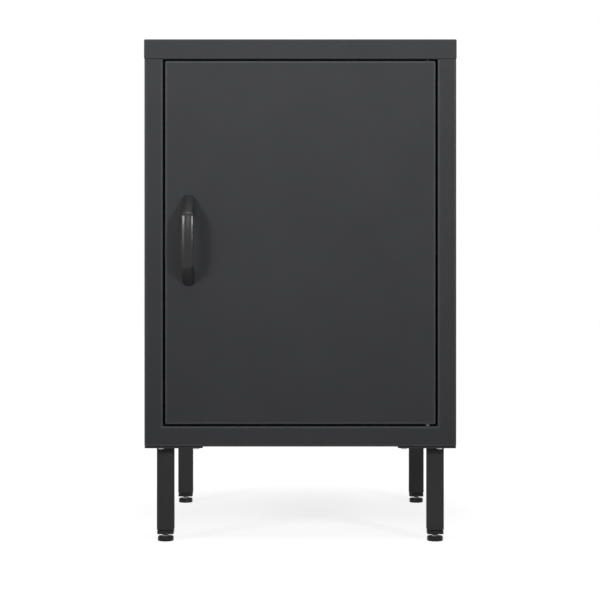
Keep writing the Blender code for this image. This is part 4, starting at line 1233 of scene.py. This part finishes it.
# Magnetic catch: a black moulded housing on the left jamb with a ferrite block in its pocket.
# The block draws the door's steel return, so the door stays shut.
CATCH_EDGE = 0.001
CATCH_SOFT = 0.0004
CATCH_SCREW_REACH = 0.0155
CATCH_HEAD_RADIUS = 0.0017
CATCH_HEAD_HEIGHT = 0.0009
CATCH_SHANK = 0.010
FERRITE = (0.075, 0.075, 0.080)
FERRITE_PALE = (0.11, 0.11, 0.115)
FERRITE_STREAKS = (600.0, 5.0)
FERRITE_GLOSS = (900.0, 3.0, 0.5, 0.7)
FERRITE_PITS = (1800.0, 4.0, 0.5, 0.00005)
FERRITE_METALLIC = 0.4
ferrite = uneven_finish(
    "ferrite",
    (FERRITE, FERRITE_PALE),
    FERRITE_STREAKS,
    FERRITE_GLOSS,
    (FERRITE_PITS,),
    metallic=FERRITE_METALLIC,
)

low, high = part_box("magnet_catch")
block_low, block_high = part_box("catch_magnet")
centre = (low + high) / 2


def facing_rings(outlines):
    """Rings round the catch's middle, each from an outline and how far back it stands."""
    return [[(centre.x + u, y, centre.z + v) for u, v in outline] for outline, y in outlines]


block_width, block_height = block_high.x - block_low.x, block_high.z - block_low.z
housing_outline = rounded_outline(high.x - low.x, high.z - low.z, CATCH_EDGE)
pocket = rounded_outline(block_width + 2 * SEAM_GAP, block_height + 2 * SEAM_GAP, CATCH_EDGE / 2)
rings = facing_rings((
    (housing_outline, high.y),
    (housing_outline, low.y),
    (pocket, low.y),
    (pocket, block_high.y + SEAM_GAP),
))
housing = ring_solid("catch_housing", rings, black_plastic, edge=CATCH_SOFT)
on_body(housing, "carcass", "black_plastic", "magnet_catch")
block_outline = rounded_outline(block_width, block_height, CATCH_EDGE / 2)
rings = facing_rings(((block_outline, block_high.y), (block_outline, block_low.y)))
block = ring_solid("catch_block", rings, ferrite, edge=CATCH_SOFT / 2)
on_body(block, "carcass", "ferrite", "catch_magnet")
spots = []
for end in (-1, 1):
    spots.append(((high.x, centre.y, centre.z + end * CATCH_SCREW_REACH), (1, 0, 0)))
sizes = (CATCH_HEAD_RADIUS, CATCH_HEAD_HEIGHT, CATCH_HEAD_RADIUS / 2, CATCH_SHANK)
screws_on("catch_screws", spots, sizes, "carcass")

# Door stops: domed rubber buttons stuck to the lid's lip, behind the door's top edge.
# They take up the last of the gap and quiet the door as it shuts.
RUBBER = (0.018, 0.018, 0.018)
RUBBER_DUSTY = (0.032, 0.032, 0.031)
RUBBER_ROUGHNESS = 0.82
BUTTON_ROUNDING_SHARE = 0.6
rubber = moulded_plastic("black rubber", RUBBER, RUBBER_DUSTY, RUBBER_ROUGHNESS)
for side in ("left", "right"):
    node = f"door_buffer_{side}"
    low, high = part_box(node)
    centre = (low + high) / 2
    radius = (high.x - low.x) / 2
    thickness = high.y - low.y
    rounding = thickness * BUTTON_ROUNDING_SHARE
    profile = [(radius, 0.0)]
    profile += quarter_round(radius, thickness - rounding, rounding, 0, 1)
    rings = []
    for r, depth in profile:
        circle = level_circle(r, 0, (centre.x, centre.z))
        rings.append([(x, high.y - depth, z) for x, z, _ in circle])
    button = ring_solid(f"door_stop_{side}", rings, rubber)
    on_body(button, "carcass", "rubber", node)

# Studio: a pale floor, painted darker round the object's middle, a key and a fill light on each
# side, one in front, a large one overhead, two low spots that reach the rear legs, and two lamps
# for the back and the walls.
# The camera stands level in front, as far off as the picture's perspective says.
FLOOR_SIZE = 14.0
FLOOR_WHITE = 0.70
FLOOR_ROUGHNESS = 0.9
# The floor glows for camera and glossy rays. The glow is lower within 0.15 m of the middle,
# painted shade that deepens the real shadow under the object, and full from 0.6 m out.
FLOOR_GLOW_AND_SHADE = {"From Min": 0.15, "From Max": 0.6, "To Min": 0.815, "To Max": 0.98}
WHITE = (1.0, 1.0, 1.0, 1.0)
WORLD_FILL = 0.08
CAMERA_DISTANCE = 2.0853
CAMERA_HEIGHT = 0.3018
CAMERA_SIDE = 0.0046
CAMERA_LENS = 111.83
CAMERA_SHIFT = (-0.0074, -0.0438)
CAMERA_REACH = 100
CHEST = (0.0, FRONT, 0.97)
WAIST = (0.0, FRONT, 0.45)
GROUND = (0.0, FRONT, 0.0)
REAR_LEFT_LEG = (-0.152, 0.19, 0.045)
REAR_RIGHT_LEG = (0.152, 0.19, 0.045)
BODY_MIDDLE = (0.0, 0.0, 0.42)
LAMPS = (
    ("left key", (-1.04, -1.41, 0.84), (0.40, 0.25), CHEST, 80, 2.55),
    ("right key", (0.90, -1.61, 0.87), (0.14, 0.22), CHEST, 80, 2.05),
    ("left fill", (-1.04, -1.41, 0.52), (0.20, 0.44), WAIST, 80, 0.32),
    ("right fill", (0.90, -1.61, 0.56), (0.10, 0.44), WAIST, 80, 0.38),
    ("front light", (-0.05, -1.75, 1.14), (0.60, 0.94), CHEST, 80, 1.3),
    ("overhead light", (0.0, -0.50, 1.9), (1.2, 1.1), GROUND, 80, 2.1),
    ("rear left light", (-1.85, 1.60, 0.46), (0.35, 0.20), BODY_MIDDLE, 22, 0.24),
    ("rear right light", (1.85, 1.60, 0.46), (0.35, 0.20), BODY_MIDDLE, 22, 0.24),
)
LOW_SPOTS = (
    ("left low spot", (-0.90, -1.50, 0.045), REAR_RIGHT_LEG, 25.0),
    ("right low spot", (0.90, -1.50, 0.045), REAR_LEFT_LEG, 50.0),
)
LOW_SPOT_ANGLE = 4
LOW_SPOT_BLEND = 0.5
LOW_SPOT_RADIUS = 0.015


def background_rays(tree):
    """1 for rays that show the background: the camera's own, and those of metal and glass."""
    rays = add_node(tree, "ShaderNodeLightPath").node.outputs
    shown = maths(tree, "MAXIMUM", rays["Is Camera Ray"], rays["Is Glossy Ray"])
    return maths(tree, "MAXIMUM", shown, rays["Is Transmission Ray"])


bm = bmesh.new()
bmesh.ops.create_grid(bm, x_segments=1, y_segments=1, size=FLOOR_SIZE / 2)
studio_floor = object_of("studio_floor", bm)
paper, tree, shader, where = blank_material("white paper floor")
away = add_node(tree, "ShaderNodeVectorMath", {0: where}, "Value", operation="LENGTH")
values = {"Value": away, **FLOOR_GLOW_AND_SHADE}
level = add_node(tree, "ShaderNodeMapRange", values, interpolation_type="SMOOTHSTEP")
glow = maths(tree, "MULTIPLY", background_rays(tree), level)
tree.links.new(glow, shader["Emission Strength"])
shader["Emission Color"].default_value = WHITE
shader["Base Color"].default_value = (FLOOR_WHITE, FLOOR_WHITE, FLOOR_WHITE, 1.0)
shader["Roughness"].default_value = FLOOR_ROUGHNESS
shader["Specular IOR Level"].default_value = 0.0
studio_floor.data.materials.append(paper)

world = bpy.data.worlds.new("studio surround")
bpy.context.scene.world = world
world.use_nodes = True
tree = world.node_tree
surround = tree.nodes["Background"].inputs
surround["Color"].default_value = WHITE
values = {"Value": background_rays(tree), "To Min": WORLD_FILL, "To Max": 1.0}
tree.links.new(add_node(tree, "ShaderNodeMapRange", values), surround["Strength"])


def stand_lamp(lamp, place, aim, watts):
    """Stands a lamp at a place, turned to an aim."""
    lamp.energy = watts
    stand = new_object(lamp.name, lamp)
    stand.location = place
    stand.rotation_euler = (Vector(aim) - Vector(place)).to_track_quat("-Z", "Y").to_euler()


for name, place, size, aim, spread_angle, watts in LAMPS:
    lamp = bpy.data.lights.new(name, "AREA")
    lamp.shape = "RECTANGLE"
    lamp.size, lamp.size_y = size
    lamp.spread = math.radians(spread_angle)
    stand_lamp(lamp, place, aim, watts)
for name, place, aim, watts in LOW_SPOTS:
    lamp = bpy.data.lights.new(name, "SPOT")
    lamp.spot_size = math.radians(LOW_SPOT_ANGLE)
    lamp.spot_blend = LOW_SPOT_BLEND
    lamp.shadow_soft_size = LOW_SPOT_RADIUS
    stand_lamp(lamp, place, aim, watts)

camera = new_object("camera", bpy.data.cameras.new("camera"))
camera.location = (CAMERA_SIDE, FRONT - CAMERA_DISTANCE, CAMERA_HEIGHT)
camera.rotation_euler = (math.radians(90), 0, 0)
camera.data.lens = CAMERA_LENS
camera.data.shift_x, camera.data.shift_y = CAMERA_SHIFT
camera.data.clip_end = CAMERA_REACH
bpy.context.scene.camera = camera
bpy.context.scene.view_settings.view_transform = "Standard"
